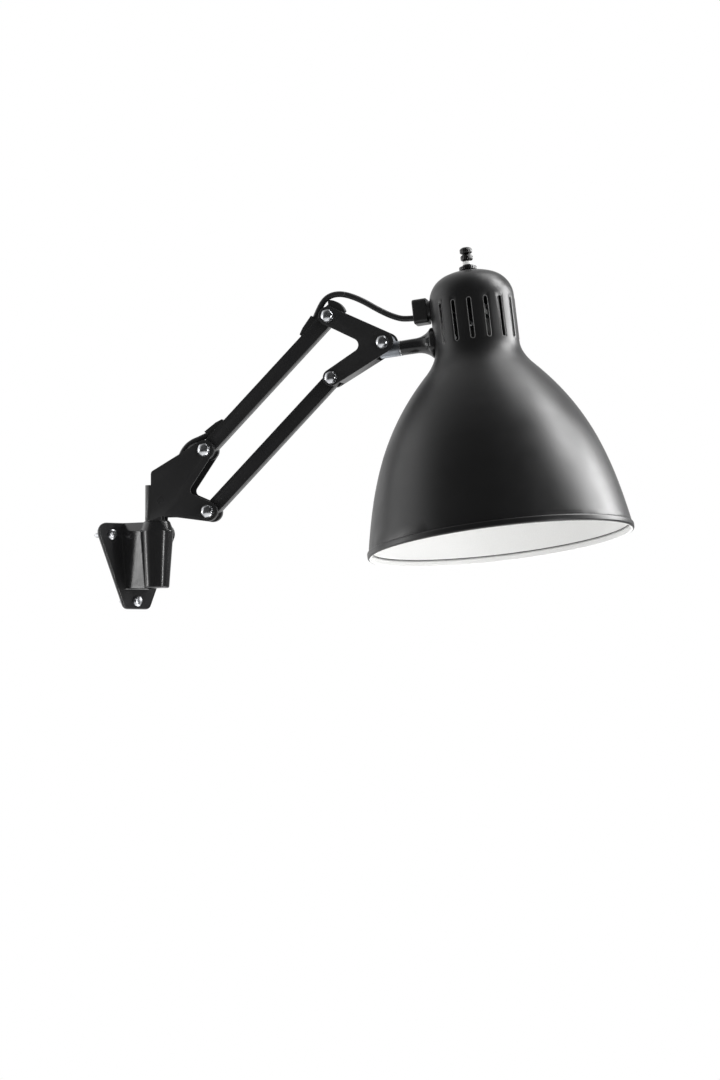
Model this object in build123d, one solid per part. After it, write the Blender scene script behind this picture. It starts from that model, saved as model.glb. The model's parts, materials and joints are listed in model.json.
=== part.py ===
from build123d import *
from math import acos, asin, atan2, cos, degrees, pi, radians, sin, sqrt
import os

# Articulating wall lamp. Millimetres, +Z up, wall plane at Y = 0, the room towards -Y.
# The origin is the middle of the wall plate's back face.
os.makedirs("parts", exist_ok=True)

# ---------------------------------------------------------------- driving dimensions
# clearances
RUN = 0.06  # radial running clearance of pins and bushes
SEAT = 0.1  # gap between flat faces that slide on each other

# wall bracket
PLATE_HALF_TOP = 45.8  # half width of the triangular plate at its sharp top corners
PLATE_HALF_BOTTOM = 13.6
PLATE_HALF_HEIGHT = 39.5
PLATE_THICK = 3.0
PLATE_TOP_CORNER = 9.0
PLATE_BOTTOM_CORNER = 6.0
SCREW_TOP_X = 27.2
SCREW_TOP_Z = 28.6
SCREW_BOTTOM_Z = -31.9
SCREW_NECK = 5.2
SCREW_THREAD = 4.6
SCREW_POINT = 5.0
SCREW_HEAD = 9.4
SCREW_HEAD_HIGH = 3.0
SCREW_IN_WALL = 28.0
SCREW_CLEAR = 0.35
POST_OUT = 36.5  # post axis from the wall
SOCKET_TOP_Z = 40.0
SOCKET_CREASE_Z = 31.5
SOCKET_BOTTOM_Z = -20.6
SOCKET_TOP_R = 11.8
SOCKET_CREASE_R = 15.0
SOCKET_BOTTOM_R = 11.2
SOCKET_EDGE = 1.6  # rounding at the bottom of the socket
SOCKET_FLOOR = 4.0
BODY_HALF_TOP = 17.2  # half width of the hollow body where it meets the plate
BODY_HALF_BOTTOM = 12.6
BODY_WALL = 2.4
BODY_MEET = 126.0  # degrees from the socket's front, where the body's sides meet it
CABLE_HOLE = 9.0
CABLE_HOLE_Z = -11.0

# swivel post and bush
POST_R = 7.0
POST_BORE_R = 4.2
POST_BOTTOM_Z = 4.0
BUSH_WALL = 1.5
THRUST_THICK = 0.8
THRUST_R = 11.0

# arm plane: x outwards along the arm, z up, y away from the viewer's side
ARM_YAW = -47.0  # turn of the arm plane about the post
REAR_PIVOT_X = 47.0
REAR_PIVOT_Z = 104.5
PIVOT_SPACING = 56.1
PIVOT_LEAN = 3.3  # degrees, the lower pivot stands further out
LINK_LENGTH = 166.0
LINK_ANGLE = 46.3  # degrees above level
HEAD_PIVOT_DX = 50.7  # from the front upper pivot
HEAD_PIVOT_DZ = -24.5

# sheet knuckles
SHEET = 1.5
PLATE_GAP = 21.5  # between the two cheeks
REAR_BACK_X = -9.5  # outside of the rear knuckle's web
REAR_CHEEK_X = -2.9
REAR_BEND = 6.4
REAR_FOOT_Z = SOCKET_TOP_Z + THRUST_THICK + SEAT
REAR_WEB_TOP_Z = 72.9
REAR_CORNER_Z = 84.9
REAR_CORNER_R = 4.0
REAR_UPPER_EAR = 8.7
REAR_LOWER_EAR = 8.9
REAR_NOTCH = (31.8, 66.0)
REAR_NOTCH_R = 4.5
REAR_FOOT_X = 7.2
REAR_FOOT_STEP = 3.2
REAR_FOOT_NOTCH_R = 4.0
FRONT_UPPER_EAR = 8.5
FRONT_LOWER_EAR = 7.6
FRONT_HEAD_EAR = 10.0
FRONT_NOTCH_R = 6.0
FRONT_WEB_START = 4.2  # along the lower edge, from the lower pivot
FRONT_WEB_END = 13.2  # short of the head pivot, clear of the lug as it tilts
BLOCK_FRONT_X = 11.0
BLOCK_LOW_Z = 46.0
BLOCK_HIGH_Z = 62.0

# bars
BAR = 13.0  # square tube
BAR_WALL = 1.2
BAR_BUSH_R = 5.0
BOLT_R = 3.0
BOLT_HEAD_AF = 10.0
BOLT_HEAD_HIGH = 4.6
BOLT_WASHER_R = 5.9
BOLT_WASHER_THICK = 0.9
NUT_AF = 10.0
NUT_HIGH = 5.6
BOLT_TIP = 1.5  # thread beyond the nut
SPACER_R = 9.0

# cord guides on the upper bar
CORD_R = 2.7
GUIDE_WIDTH = 9.4
GUIDE_FAR = 30.5  # outer end of the guide from its pivot, along the bar
GUIDE_NEAR = 11.0
GUIDE_LOW = 2.4  # rise over the bar at the far end
GUIDE_KNEE = (24.4, 4.5)  # along the bar, and rise
GUIDE_HIGH = 6.5
GUIDE_ROOF = 0.8
GUIDE_FOOT = 2.0  # solid end of the hood
SLOT_LENGTH = 20.0  # opening in the bar's top wall
SLOT_NEAR = 9.0
SLOT_WIDTH = 6.2
CORD_MOUTH_RISE = 9.0  # cord's middle over the bar's middle where it leaves the hood
CORD_DIP = 34.0  # along the bar, where the cord has come down to the bar's middle
CORD_DIP_RISE = 0.0
RAIL_HIGH = 1.8
DRUM_R = 14.9
DRUM_WIDTH = 11.6
DRUM_START = 48.0  # degrees from the bar's direction, where the drum's rim begins

# head, in its own frame: origin on the head pivot, x along the neck, z up the shade's axis
HEAD_TILT = 7.7
HEAD_ROLL = -4.5
NECK_DROP = 7.0  # neck axis below the head pivot
SHADE_OUT = 83.6  # shade axis from the head pivot
LUG_EYE_R = 8.3
LUG_BARREL_R = 6.9
LUG_TAIL_X = -5.8
LUG_FACE_X = 13.4
HEAD_WASHER_THICK = 1.4
NECK_WASHER_THICK = 0.9
NECK_END_R = 6.7
NECK_FLANGE_R = 14.2
STUD_R = 4.0
STUD_BORE_R = 2.0
STUD_TAIL_X = 4.4
STUD_GROOVE = 0.9
STUD_NUT_AF = 13.0
STUD_NUT_HIGH = 4.0
SET_SCREW_R = 2.0

# shade
SHADE_WALL = 0.9
CAP_R = 38.3
CROWN_Z = 54.0
CROWN_EDGE = (24.0, 49.2)
CAP_TOP_Z = 27.0
CAP_LOW_Z = -15.0
# places on the bell's outline, each with its lean out from straight down in degrees
BELL = (((49.15, -38.1), 43.7), ((76.4, -71.8), 33.7), ((99.9, -117.6), 20.5))
RIM_R = 119.0
RIM_Z = -192.5
RIM_LEAN = 9.5
RIM_RING_R = 1.7  # half its thickness
RIM_RING_HIGH = 6.2
RIM_RING_DROP = 1.7  # its middle below the shade's edge
VENT_COUNT = 12
VENT_PITCH = 22.5
VENT_START = -39.0  # degrees from the viewer's side towards the outer side
VENT_LENGTH = 37.6
VENT_WIDTH = 4.0
VENT_MID_Z = 4.2

LINER_GAP = 0.3
LINER_WALL = 0.7
LINER_HIGH_Z = -24.0
LINER_LOW_Z = -190.4

# cord gland
GLAND_Z = 22.8
GLAND_HIGH = 22.6
GLAND_WIDE = 19.0
GLAND_LONG = 13.0
GLAND_CORNER = 4.0
GLAND_COLLAR_R = 9.2
GLAND_COLLAR_LONG = 2.4
GLAND_THREAD_R = 5.0
GLAND_CORD_DROP = 4.6  # cord hole below the gland's middle
GLAND_NUT_AF = 15.0
GLAND_NUT_HIGH = 3.5

# switch on the crown
SWITCH_BUSH_R = 4.6
SWITCH_BODY_R = 8.2
SWITCH_BODY_LONG = 20.0
SWITCH_NUT_R = 8.0
SWITCH_NUT_HIGH = 5.4
SWITCH_STEM_R = 2.6
KNOB_STEM_TOP = 62.4
KNOB_R = 5.4
KNOB_BEAD = 6.3
KNOB_WAIST_R = 4.5

# lamp holder and bulb
HOLDER_R = 19.5
HOLDER_TOP_Z = 12.0
HOLDER_CAP_R = 13.0
HOLDER_CAP_HIGH = 9.0
HOLDER_BOTTOM_Z = -34.0
HOLDER_BORE_R = 13.6
HOLDER_BORE_DEEP = 27.0
STRAP_WIDE = 14.0
STRAP_THICK = 1.2
STRAP_HALF = 20.9
STRAP_LOW_Z = -2.0
BULB_R = 30.0
BULB_BOTTOM_Z = -128.0
BULB_BASE_R = 13.2
BULB_NECK_R = 13.8
BULB_WALL = 0.9
BULB_WAIST = (12.0, 0.6)  # below the glass's top, and wider than the neck
BULB_FLARE = (18.8, 27.5)  # out from the axis, and above the globe's middle
LEAD_R = 1.1

# worked out from the above
CHEEK_IN = PLATE_GAP / 2
CHEEK_OUT = CHEEK_IN + SHEET
HALF_BAR = BAR / 2
SPACER_THICK = CHEEK_IN - HALF_BAR - SEAT
GLAND_FACE_X = SHADE_OUT - CAP_R - GLAND_COLLAR_LONG - GLAND_LONG


def polar(length, angle):
    return (length * cos(radians(angle)), length * sin(radians(angle)))


def plus(a, b):
    return (a[0] + b[0], a[1] + b[1])


REAR_UP = (REAR_PIVOT_X, REAR_PIVOT_Z)
REAR_LOW = plus(REAR_UP, polar(PIVOT_SPACING, -90 + PIVOT_LEAN))
FRONT_UP = plus(REAR_UP, polar(LINK_LENGTH, LINK_ANGLE))
FRONT_LOW = plus(REAR_LOW, polar(LINK_LENGTH, LINK_ANGLE))
HEAD = plus(FRONT_UP, (HEAD_PIVOT_DX, HEAD_PIVOT_DZ))

# ---------------------------------------------------------------- frames
ARM = Location((0, -POST_OUT, 0), (0, 0, ARM_YAW))
ARM_PLANE = Plane(origin=(0, 0, 0), x_dir=(1, 0, 0), z_dir=(0, -1, 0))  # sketches in the arm's x and z


def at_pivot(point, angle=0):
    """Frame on a pivot of the arm plane, its x turned up by the angle."""
    return ARM * Location((point[0], 0, point[1]), (0, -angle, 0))


HEAD_AT = at_pivot(HEAD, HEAD_TILT)
HEAD_FRAME = HEAD_AT * Pos(0, 0, -NECK_DROP) * Rot(HEAD_ROLL, 0, 0) * Pos(0, 0, NECK_DROP)
NECK_AXIS = HEAD_FRAME * Pos(0, 0, -NECK_DROP) * Rot(0, 90, 0)  # z along the neck, outwards
SHADE_AXIS = HEAD_FRAME * Pos(SHADE_OUT, 0, 0)


# ---------------------------------------------------------------- helpers
def across(sketch, y0, y1):
    """Solid from a sketch drawn in the arm's x and z, between two depths."""
    return Pos(0, y1, 0) * extrude(ARM_PLANE * sketch, amount=y1 - y0)


def pin(point, radius, y0, y1, bore=0):
    """Cylinder or tube across the arm plane."""
    ring = Circle(radius)
    if bore:
        ring -= Circle(bore)
    return across(Pos(*point) * ring, y0, y1)


def turned(points, axis=Axis.Z):
    """Solid of revolution from a closed outline of radius and height."""
    return revolve(Plane.XZ * make_face(Polyline(*points, close=True)), axis)


def tangent_point(point, centre, radius, side):
    """Where the line from a point touches a circle; side is 1 for the left of the way there, -1 right."""
    dx, dz = centre[0] - point[0], centre[1] - point[1]
    away = sqrt(dx * dx + dz * dz)
    turn = side * asin(radius / away)
    reach = sqrt(away * away - radius * radius)
    heading = atan2(dz, dx) + turn
    return (point[0] + reach * cos(heading), point[1] + reach * sin(heading))


def ear_tangents(c1, r1, c2, r2, side):
    """The two ends of the outer line that touches two circles on one side."""
    dx, dz = c2[0] - c1[0], c2[1] - c1[1]
    away = sqrt(dx * dx + dz * dz)
    normal = atan2(dz, dx) + side * acos((r1 - r2) / away)
    ends = []
    for centre, radius in ((c1, r1), (c2, r2)):
        ends.append((centre[0] + radius * cos(normal), centre[1] + radius * sin(normal)))
    return ends


def round_corner(sketch, point, radius):
    return fillet(sketch.vertices().sort_by_distance((point[0], point[1], 0))[0], radius)


def hexagon(across_flats):
    return RegularPolygon(across_flats / 2, 6, major_radius=False)


def tube_along(points, radii, radius):
    """Round cord along straight runs joined by tangent arcs."""
    path = FilletPolyline(*points, radius=radii)
    start = Plane(origin=path @ 0, z_dir=path % 0)
    solid = sweep(start * Circle(radius), path=path)
    print("cord", round(path.length, 1), "volume share", round(solid.volume / (pi * radius ** 2 * path.length), 4))
    return solid


def corner_radii(points):
    """For each inner point, 0.45 of its shorter run over the tangent of half the turn."""
    radii = []
    for before, here, after in zip(points, points[1:], points[2:]):
        a, b = Vector(*here) - Vector(*before), Vector(*after) - Vector(*here)
        turn = radians(a.get_angle(b))
        radii.append(0.45 * min(a.length, b.length) / (sin(turn / 2) / cos(turn / 2)))
    print("radii", [round(r, 1) for r in radii])
    return radii


def keep(name, shape, place=None):
    """Write one node."""
    if isinstance(shape, (list, tuple)):
        shape = Compound(children=list(shape))
    if place is not None:
        shape = place * shape
    export_step(shape, f"parts/{name}.step")


# ---------------------------------------------------------------- wall bracket
def plate_outline():
    low, high = -PLATE_HALF_HEIGHT, PLATE_HALF_HEIGHT
    corners = [(-PLATE_HALF_BOTTOM, low), (PLATE_HALF_BOTTOM, low), (PLATE_HALF_TOP, high), (-PLATE_HALF_TOP, high)]
    outline = Polygon(*corners, align=None)
    for corner in corners[:2]:
        outline = round_corner(outline, corner, PLATE_BOTTOM_CORNER)
    for corner in corners[2:]:
        outline = round_corner(outline, corner, PLATE_TOP_CORNER)
    return outline


def body_section(z, half, radius, inset=0):
    """Outline of the hollow body at one height: from the plate into the back of the socket."""
    back = -PLATE_THICK - inset if inset else -PLATE_THICK / 2
    meet_x = radius * sin(radians(BODY_MEET))
    meet_out = POST_OUT + radius * cos(radians(BODY_MEET)) - PLATE_THICK
    narrowing = (half - meet_x) / meet_out
    wide = (half - inset, back)
    narrow = (half - inset - narrowing * (POST_OUT - PLATE_THICK), -POST_OUT)
    corners = [(-wide[0], wide[1]), (-narrow[0], narrow[1]), narrow, wide]
    return Plane.XY.offset(z) * Polygon(*corners, align=None)


SCREW_PLACES = [(-SCREW_TOP_X, SCREW_TOP_Z), (SCREW_TOP_X, SCREW_TOP_Z), (0, SCREW_BOTTOM_Z)]
BUSH_R = POST_R + RUN + BUSH_WALL

WALL = Plane(origin=(0, 0, 0), x_dir=(1, 0, 0), z_dir=(0, -1, 0))
plate = extrude(WALL * plate_outline(), amount=PLATE_THICK)
plate = fillet(plate.faces().sort_by(Axis.Y)[0].edges(), 0.8)
socket_points = [(0, SOCKET_BOTTOM_Z), (SOCKET_BOTTOM_R, SOCKET_BOTTOM_Z), (SOCKET_CREASE_R, SOCKET_CREASE_Z),
                 (SOCKET_TOP_R, SOCKET_TOP_Z), (0, SOCKET_TOP_Z)]
socket = turned(socket_points)
socket = Pos(0, -POST_OUT, 0) * fillet(socket.faces().sort_by(Axis.Z)[0].edges(), SOCKET_EDGE)
top_inset = SOCKET_CREASE_R - SOCKET_TOP_R
lower_body = loft([body_section(SOCKET_BOTTOM_Z, BODY_HALF_BOTTOM, SOCKET_BOTTOM_R),
                   body_section(SOCKET_CREASE_Z, BODY_HALF_TOP, SOCKET_CREASE_R)])
upper_body = loft([body_section(SOCKET_CREASE_Z, BODY_HALF_TOP, SOCKET_CREASE_R),
                   body_section(SOCKET_TOP_Z - 0.5, BODY_HALF_TOP - top_inset, SOCKET_TOP_R)])
bracket = plate + lower_body + upper_body + socket
hollow = loft([body_section(SOCKET_BOTTOM_Z - 1, BODY_HALF_BOTTOM, SOCKET_BOTTOM_R, BODY_WALL),
               body_section(SOCKET_CREASE_Z - BODY_WALL, BODY_HALF_TOP, SOCKET_CREASE_R, BODY_WALL)])
boss_r = BUSH_R + BODY_WALL
boss = Pos(0, -POST_OUT, SOCKET_BOTTOM_Z - 2) * Cylinder(boss_r, 60, align=(Align.CENTER, Align.CENTER, Align.MIN))
bracket -= hollow - boss
bush_floor = POST_BOTTOM_Z - 2
bore = Cylinder(BUSH_R, SOCKET_TOP_Z - bush_floor, align=(Align.CENTER, Align.CENTER, Align.MIN))
bracket -= Pos(0, -POST_OUT, bush_floor) * bore
well_z = SOCKET_BOTTOM_Z + SOCKET_FLOOR
well = Cylinder(BUSH_R - 1.6, bush_floor - well_z + 1, align=(Align.CENTER, Align.CENTER, Align.MIN))
bracket -= Pos(0, -POST_OUT, well_z) * well
window = Box(2 * CORD_R + 3, POST_OUT - PLATE_THICK, bush_floor - well_z, align=(Align.CENTER, Align.MIN, Align.MIN))
bracket -= Pos(0, -POST_OUT, well_z) * window
bracket -= Pos(0, 0, CABLE_HOLE_Z) * Rot(90, 0, 0) * Cylinder(CABLE_HOLE / 2, 4 * PLATE_THICK)
for x, z in SCREW_PLACES:
    bracket -= Pos(x, 0, z) * Rot(90, 0, 0) * Cylinder(SCREW_NECK / 2 + SCREW_CLEAR, 4 * PLATE_THICK)
keep("wall_bracket", bracket)


def wall_screw():
    """Pan head with a cross recess, on the plate's front face; the shank runs into the wall."""
    neck = SCREW_NECK / 2
    thread = SCREW_THREAD / 2
    head = SCREW_HEAD / 2
    back = PLATE_THICK
    outline = [(0, -SCREW_IN_WALL), (0.4, -SCREW_IN_WALL), (thread, SCREW_POINT - SCREW_IN_WALL), (thread, 0),
               (neck, 0), (neck, back), (head, back),
               (head, back + 0.45 * SCREW_HEAD_HIGH), (0.72 * head, back + 0.88 * SCREW_HEAD_HIGH),
               (0.3 * head, back + SCREW_HEAD_HIGH), (0, back + SCREW_HEAD_HIGH)]
    screw = turned(outline)
    recess = Box(0.5 * SCREW_HEAD, 1.0, 3.0) + Box(1.0, 0.5 * SCREW_HEAD, 3.0)
    return screw - Pos(0, 0, back + SCREW_HEAD_HIGH) * recess


screws = [Pos(x, 0, z) * Rot(90, 0, 0) * Rot(0, 0, turn) * wall_screw()
          for (x, z), turn in zip(SCREW_PLACES, (20, 50, 5))]
keep("wall_screws", screws)

# ---------------------------------------------------------------- bush, washer, post
bush_high = SOCKET_TOP_Z - bush_floor
bush = Cylinder(BUSH_R - 0.02, bush_high, align=(Align.CENTER, Align.CENTER, Align.MIN))
bush -= Cylinder(POST_R + RUN, 3 * bush_high)
keep("socket_bush", Pos(0, -POST_OUT, bush_floor) * bush)

washer = Cylinder(THRUST_R, THRUST_THICK, align=(Align.CENTER, Align.CENTER, Align.MIN))
washer -= Cylinder(POST_R + RUN, 3 * THRUST_THICK)
keep("thrust_washer", Pos(0, -POST_OUT, SOCKET_TOP_Z) * washer)

post_high = BLOCK_HIGH_Z - POST_BOTTOM_Z
post = Pos(0, 0, POST_BOTTOM_Z) * Cylinder(POST_R, post_high, align=(Align.CENTER, Align.CENTER, Align.MIN))
post -= Cylinder(POST_BORE_R, 4 * BLOCK_HIGH_Z)
post = chamfer(post.edges().filter_by(GeomType.CIRCLE).sort_by(Axis.Z)[:2], 0.8)
keep("swivel_post", post, ARM)


# ---------------------------------------------------------------- rear knuckle
def u_section(outer_half, back_x, front_x, bend):
    """Plan outline that fills a bent sheet's outside or inside, open to the front."""
    width = front_x - back_x
    outline = Pos(back_x + width / 2, 0) * Rectangle(width, 2 * outer_half)
    back_corners = outline.vertices().group_by(Axis.X)[0]
    return fillet(back_corners, bend)


def rear_cheek():
    foot_z = REAR_FOOT_Z
    up_left = (REAR_CHEEK_X, REAR_CORNER_Z)
    low_edge = (REAR_FOOT_X + REAR_FOOT_NOTCH_R + 4.5, foot_z + REAR_FOOT_STEP)
    points = [
        (REAR_CHEEK_X, foot_z),
        up_left,
        tangent_point(up_left, REAR_UP, REAR_UPPER_EAR, 1),
        REAR_UP,
        tangent_point(REAR_NOTCH, REAR_UP, REAR_UPPER_EAR, -1),
        REAR_NOTCH,
        tangent_point(REAR_NOTCH, REAR_LOW, REAR_LOWER_EAR, 1),
        REAR_LOW,
        tangent_point(low_edge, REAR_LOW, REAR_LOWER_EAR, -1),
        low_edge,
        (REAR_FOOT_X, foot_z + REAR_FOOT_STEP),
        (REAR_FOOT_X, foot_z),
    ]
    cheek = Polygon(*reversed(points), align=None)
    cheek = round_corner(cheek, up_left, REAR_CORNER_R)
    cheek = round_corner(cheek, REAR_NOTCH, REAR_NOTCH_R)
    for centre, ear in ((REAR_UP, REAR_UPPER_EAR), (REAR_LOW, REAR_LOWER_EAR)):
        cheek += Pos(*centre) * Circle(ear)
    for centre in (REAR_UP, REAR_LOW):
        cheek -= Pos(*centre) * Circle(BOLT_R + RUN)
    return cheek


rear = across(rear_cheek(), -CHEEK_OUT, -CHEEK_IN) + across(rear_cheek(), CHEEK_IN, CHEEK_OUT)
web_front = REAR_CHEEK_X + 0.01
web = u_section(CHEEK_OUT, REAR_BACK_X, web_front, REAR_BEND)
web -= u_section(CHEEK_IN, REAR_BACK_X + SHEET, web_front + 1, REAR_BEND - SHEET)
rear += Pos(0, 0, REAR_FOOT_Z) * extrude(web, amount=REAR_WEB_TOP_Z - REAR_FOOT_Z)
keep("rear_knuckle", rear, ARM)

block = u_section(CHEEK_IN - 0.02, REAR_BACK_X + SHEET + 0.02, BLOCK_FRONT_X, REAR_BEND - SHEET)
block -= Circle(POST_R + 0.02)
keep("post_block", Pos(0, 0, BLOCK_LOW_Z) * extrude(block, amount=BLOCK_HIGH_Z - BLOCK_LOW_Z), ARM)


# ---------------------------------------------------------------- bars
def bar(rear_point, front_point, slotted):
    """Square tube with rounded ends, drilled for its bushes; the upper bar is slotted for the cord."""
    def slot(half):
        ends = Pos(*rear_point) * Circle(half) + Pos(*front_point) * Circle(half)
        middle = ((rear_point[0] + front_point[0]) / 2, (rear_point[1] + front_point[1]) / 2)
        return ends + Pos(*middle) * Rot(0, 0, LINK_ANGLE) * Rectangle(LINK_LENGTH, 2 * half)

    inside = HALF_BAR - BAR_WALL
    tube = across(slot(HALF_BAR), -HALF_BAR, HALF_BAR) - across(slot(inside), -inside, inside)
    for point in (rear_point, front_point):
        tube -= pin(point, BAR_BUSH_R, -BAR, BAR)
    if slotted:
        for along in (SLOT_NEAR + SLOT_LENGTH / 2, LINK_LENGTH - SLOT_NEAR - SLOT_LENGTH / 2):
            opening = Pos(along, 0, HALF_BAR) * Box(SLOT_LENGTH, SLOT_WIDTH, 4 * BAR_WALL)
            tube -= Location((rear_point[0], 0, rear_point[1]), (0, -LINK_ANGLE, 0)) * opening
    return tube


keep("upper_bar", bar(REAR_UP, FRONT_UP, True), ARM)
keep("lower_bar", bar(REAR_LOW, FRONT_LOW, False), ARM)
for name, points in (("upper_bar_bushes", (REAR_UP, FRONT_UP)), ("lower_bar_bushes", (REAR_LOW, FRONT_LOW))):
    bushes = [pin(p, BAR_BUSH_R - 0.02, -HALF_BAR - 0.03, HALF_BAR + 0.03, BOLT_R + RUN) for p in points]
    keep(name, bushes, ARM)


# ---------------------------------------------------------------- pivot hardware
def pivot_bolt(point):
    """Domed hex head and washer on the viewer's side, shank through both cheeks and the nut."""
    tip = CHEEK_OUT + BOLT_WASHER_THICK + NUT_HIGH + BOLT_TIP
    bolt = pin(point, BOLT_R, -CHEEK_OUT - 1, tip)
    bolt += pin(point, BOLT_WASHER_R, -CHEEK_OUT - BOLT_WASHER_THICK, -CHEEK_OUT)
    face = -CHEEK_OUT - BOLT_WASHER_THICK
    head = across(Pos(*point) * Rot(0, 0, 12) * hexagon(BOLT_HEAD_AF), face - BOLT_HEAD_HIGH, face)
    dome_r = BOLT_HEAD_AF * 0.72
    dome_at = face - BOLT_HEAD_HIGH + dome_r
    ball = Pos(point[0], dome_at, point[1]) * Sphere(dome_r)
    return bolt + (head & ball)


def pivot_nut(point):
    """Washer and locknut on the far side."""
    start = CHEEK_OUT
    nut = pin(point, BOLT_WASHER_R, start, start + BOLT_WASHER_THICK, BOLT_R + RUN)
    start += BOLT_WASHER_THICK
    body = Pos(*point) * (Rot(0, 0, 25) * hexagon(NUT_AF) - Circle(BOLT_R + RUN))
    nut += across(body, start, start + 0.7 * NUT_HIGH)
    return nut + pin(point, 0.46 * NUT_AF, start + 0.7 * NUT_HIGH, start + NUT_HIGH, BOLT_R + RUN)


def spacer_pair(point, radius, thick, inner):
    """Rings between a bar or lug and the two cheeks."""
    rings = []
    for side in (-1, 1):
        y0, y1 = sorted((side * inner, side * (inner + thick)))
        rings.append(pin(point, radius, y0, y1, BOLT_R + RUN))
    return rings


for end, points in (("rear", (REAR_UP, REAR_LOW)), ("front", (FRONT_UP, FRONT_LOW))):
    keep(f"{end}_pivot_bolts", [pivot_bolt(p) for p in points], ARM)
    keep(f"{end}_pivot_nuts", [pivot_nut(p) for p in points], ARM)
    rings = []
    for p in points:
        radius = SPACER_R if end == "rear" else min(SPACER_R, FRONT_LOWER_EAR)
        rings += spacer_pair(p, radius, SPACER_THICK, HALF_BAR + SEAT)
    keep(f"{end}_spacers", rings, ARM)
keep("head_pivot_bolt", pivot_bolt(HEAD), ARM)
keep("head_pivot_nut", pivot_nut(HEAD), ARM)
LUG_HALF = CHEEK_IN - HEAD_WASHER_THICK - SEAT
keep("head_washers", spacer_pair(HEAD, LUG_EYE_R, HEAD_WASHER_THICK, LUG_HALF + SEAT), ARM)


# ---------------------------------------------------------------- front knuckle
def front_cheek():
    upper = [FRONT_UP, *ear_tangents(FRONT_UP, FRONT_UPPER_EAR, HEAD, FRONT_HEAD_EAR, 1), HEAD]
    lower_out = ear_tangents(FRONT_LOW, FRONT_LOWER_EAR, HEAD, FRONT_HEAD_EAR, -1)
    arm_1 = ear_tangents(FRONT_UP, FRONT_UPPER_EAR, HEAD, FRONT_UPPER_EAR, -1)
    arm_2 = ear_tangents(FRONT_LOW, FRONT_LOWER_EAR, HEAD, FRONT_LOWER_EAR, 1)
    notch = crossing(arm_1, arm_2)
    points = [*upper[:3], *reversed(lower_out), FRONT_LOW, arm_2[0], notch, arm_1[0]]
    outline = Polygon(*reversed(points), align=None)
    outline = round_corner(outline, notch, FRONT_NOTCH_R)
    for centre, ear in ((FRONT_UP, FRONT_UPPER_EAR), (FRONT_LOW, FRONT_LOWER_EAR), (HEAD, FRONT_HEAD_EAR)):
        outline += Pos(*centre) * Circle(ear)
    for centre in (FRONT_UP, FRONT_LOW, HEAD):
        outline -= Pos(*centre) * Circle(BOLT_R + RUN)
    return outline


def crossing(line_a, line_b):
    """Where two lines of the arm plane meet."""
    (ax, az), (bx, bz) = line_a
    (cx, cz), (dx, dz) = line_b
    ux, uz, vx, vz = bx - ax, bz - az, dx - cx, dz - cz
    t = ((cx - ax) * vz - (cz - az) * vx) / (ux * vz - uz * vx)
    return (ax + t * ux, az + t * uz)


front = across(front_cheek(), -CHEEK_OUT, -CHEEK_IN) + across(front_cheek(), CHEEK_IN, CHEEK_OUT)
edge_start, edge_end = ear_tangents(FRONT_LOW, FRONT_LOWER_EAR, HEAD, FRONT_HEAD_EAR, -1)
edge_angle = degrees(atan2(edge_end[1] - edge_start[1], edge_end[0] - edge_start[0]))
edge_length = sqrt((edge_end[0] - edge_start[0]) ** 2 + (edge_end[1] - edge_start[1]) ** 2)
web_length = edge_length - FRONT_WEB_START - FRONT_WEB_END
web = Pos(FRONT_WEB_START, 0, 0) * Box(web_length, 2 * CHEEK_OUT, SHEET, align=(Align.MIN, Align.CENTER, Align.MIN))
front += Location((edge_start[0], 0, edge_start[1]), (0, -edge_angle, 0)) * web
keep("front_knuckle", front, ARM)


# ---------------------------------------------------------------- cord
def on_bar(pivot, along, rise):
    """Point of the arm plane, from a pivot along the bar and square to it."""
    return plus(pivot, plus(polar(along, LINK_ANGLE), polar(rise, LINK_ANGLE + 90)))


def in_plane(points):
    return [(x, 0, z) for x, z in points]


REAR_MOUTH = on_bar(REAR_UP, GUIDE_NEAR, CORD_MOUTH_RISE)
FRONT_MOUTH = on_bar(FRONT_UP, -GUIDE_NEAR, CORD_MOUTH_RISE)
GLAND_CORD_Z = GLAND_Z - GLAND_CORD_DROP
CORD_END_X = GLAND_FACE_X + 0.6 * GLAND_LONG


def from_head(x, y, z):
    """A point of the head's frame, in the arm's frame."""
    return tuple((ARM.inverse() * HEAD_FRAME * Pos(x, y, z)).position)


def onward(mouth, pivot, side, length):
    """Point past a mouth, in line with the cord's run inside the hood."""
    dip = on_bar(pivot, side * CORD_DIP, CORD_DIP_RISE)
    dx, dz = mouth[0] - dip[0], mouth[1] - dip[1]
    share = length / sqrt(dx * dx + dz * dz)
    return (mouth[0] + share * dx, mouth[1] + share * dz)


FRONT_ROUTE = [
    *in_plane([FRONT_MOUTH, onward(FRONT_MOUTH, FRONT_UP, -1, 9.0), (156.3, 240.3), (164.3, 244.9), (175.5, 244.9),
               (191.0, 239.0), (207.0, 229.6), (220.5, 223.4)]),
    from_head(GLAND_FACE_X - 8, 0, GLAND_CORD_Z),
    from_head(CORD_END_X, 0, GLAND_CORD_Z),
]
POST_CORD_HIGH = BLOCK_HIGH_Z - 6
REAR_ROUTE = in_plane([REAR_MOUTH, onward(REAR_MOUTH, REAR_UP, 1, 8.0), (31.5, 111.6), (24.8, 104.8), (21.2, 95.5),
                       (16.2, 87.0), (0.0, POST_CORD_HIGH + 16), (0.0, POST_CORD_HIGH)])
BAR_ROUTE = in_plane([REAR_MOUTH, on_bar(REAR_UP, CORD_DIP, CORD_DIP_RISE),
                      on_bar(FRONT_UP, -CORD_DIP, CORD_DIP_RISE), FRONT_MOUTH])
POST_CORD_LOW = POST_BOTTOM_Z + 2

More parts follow.
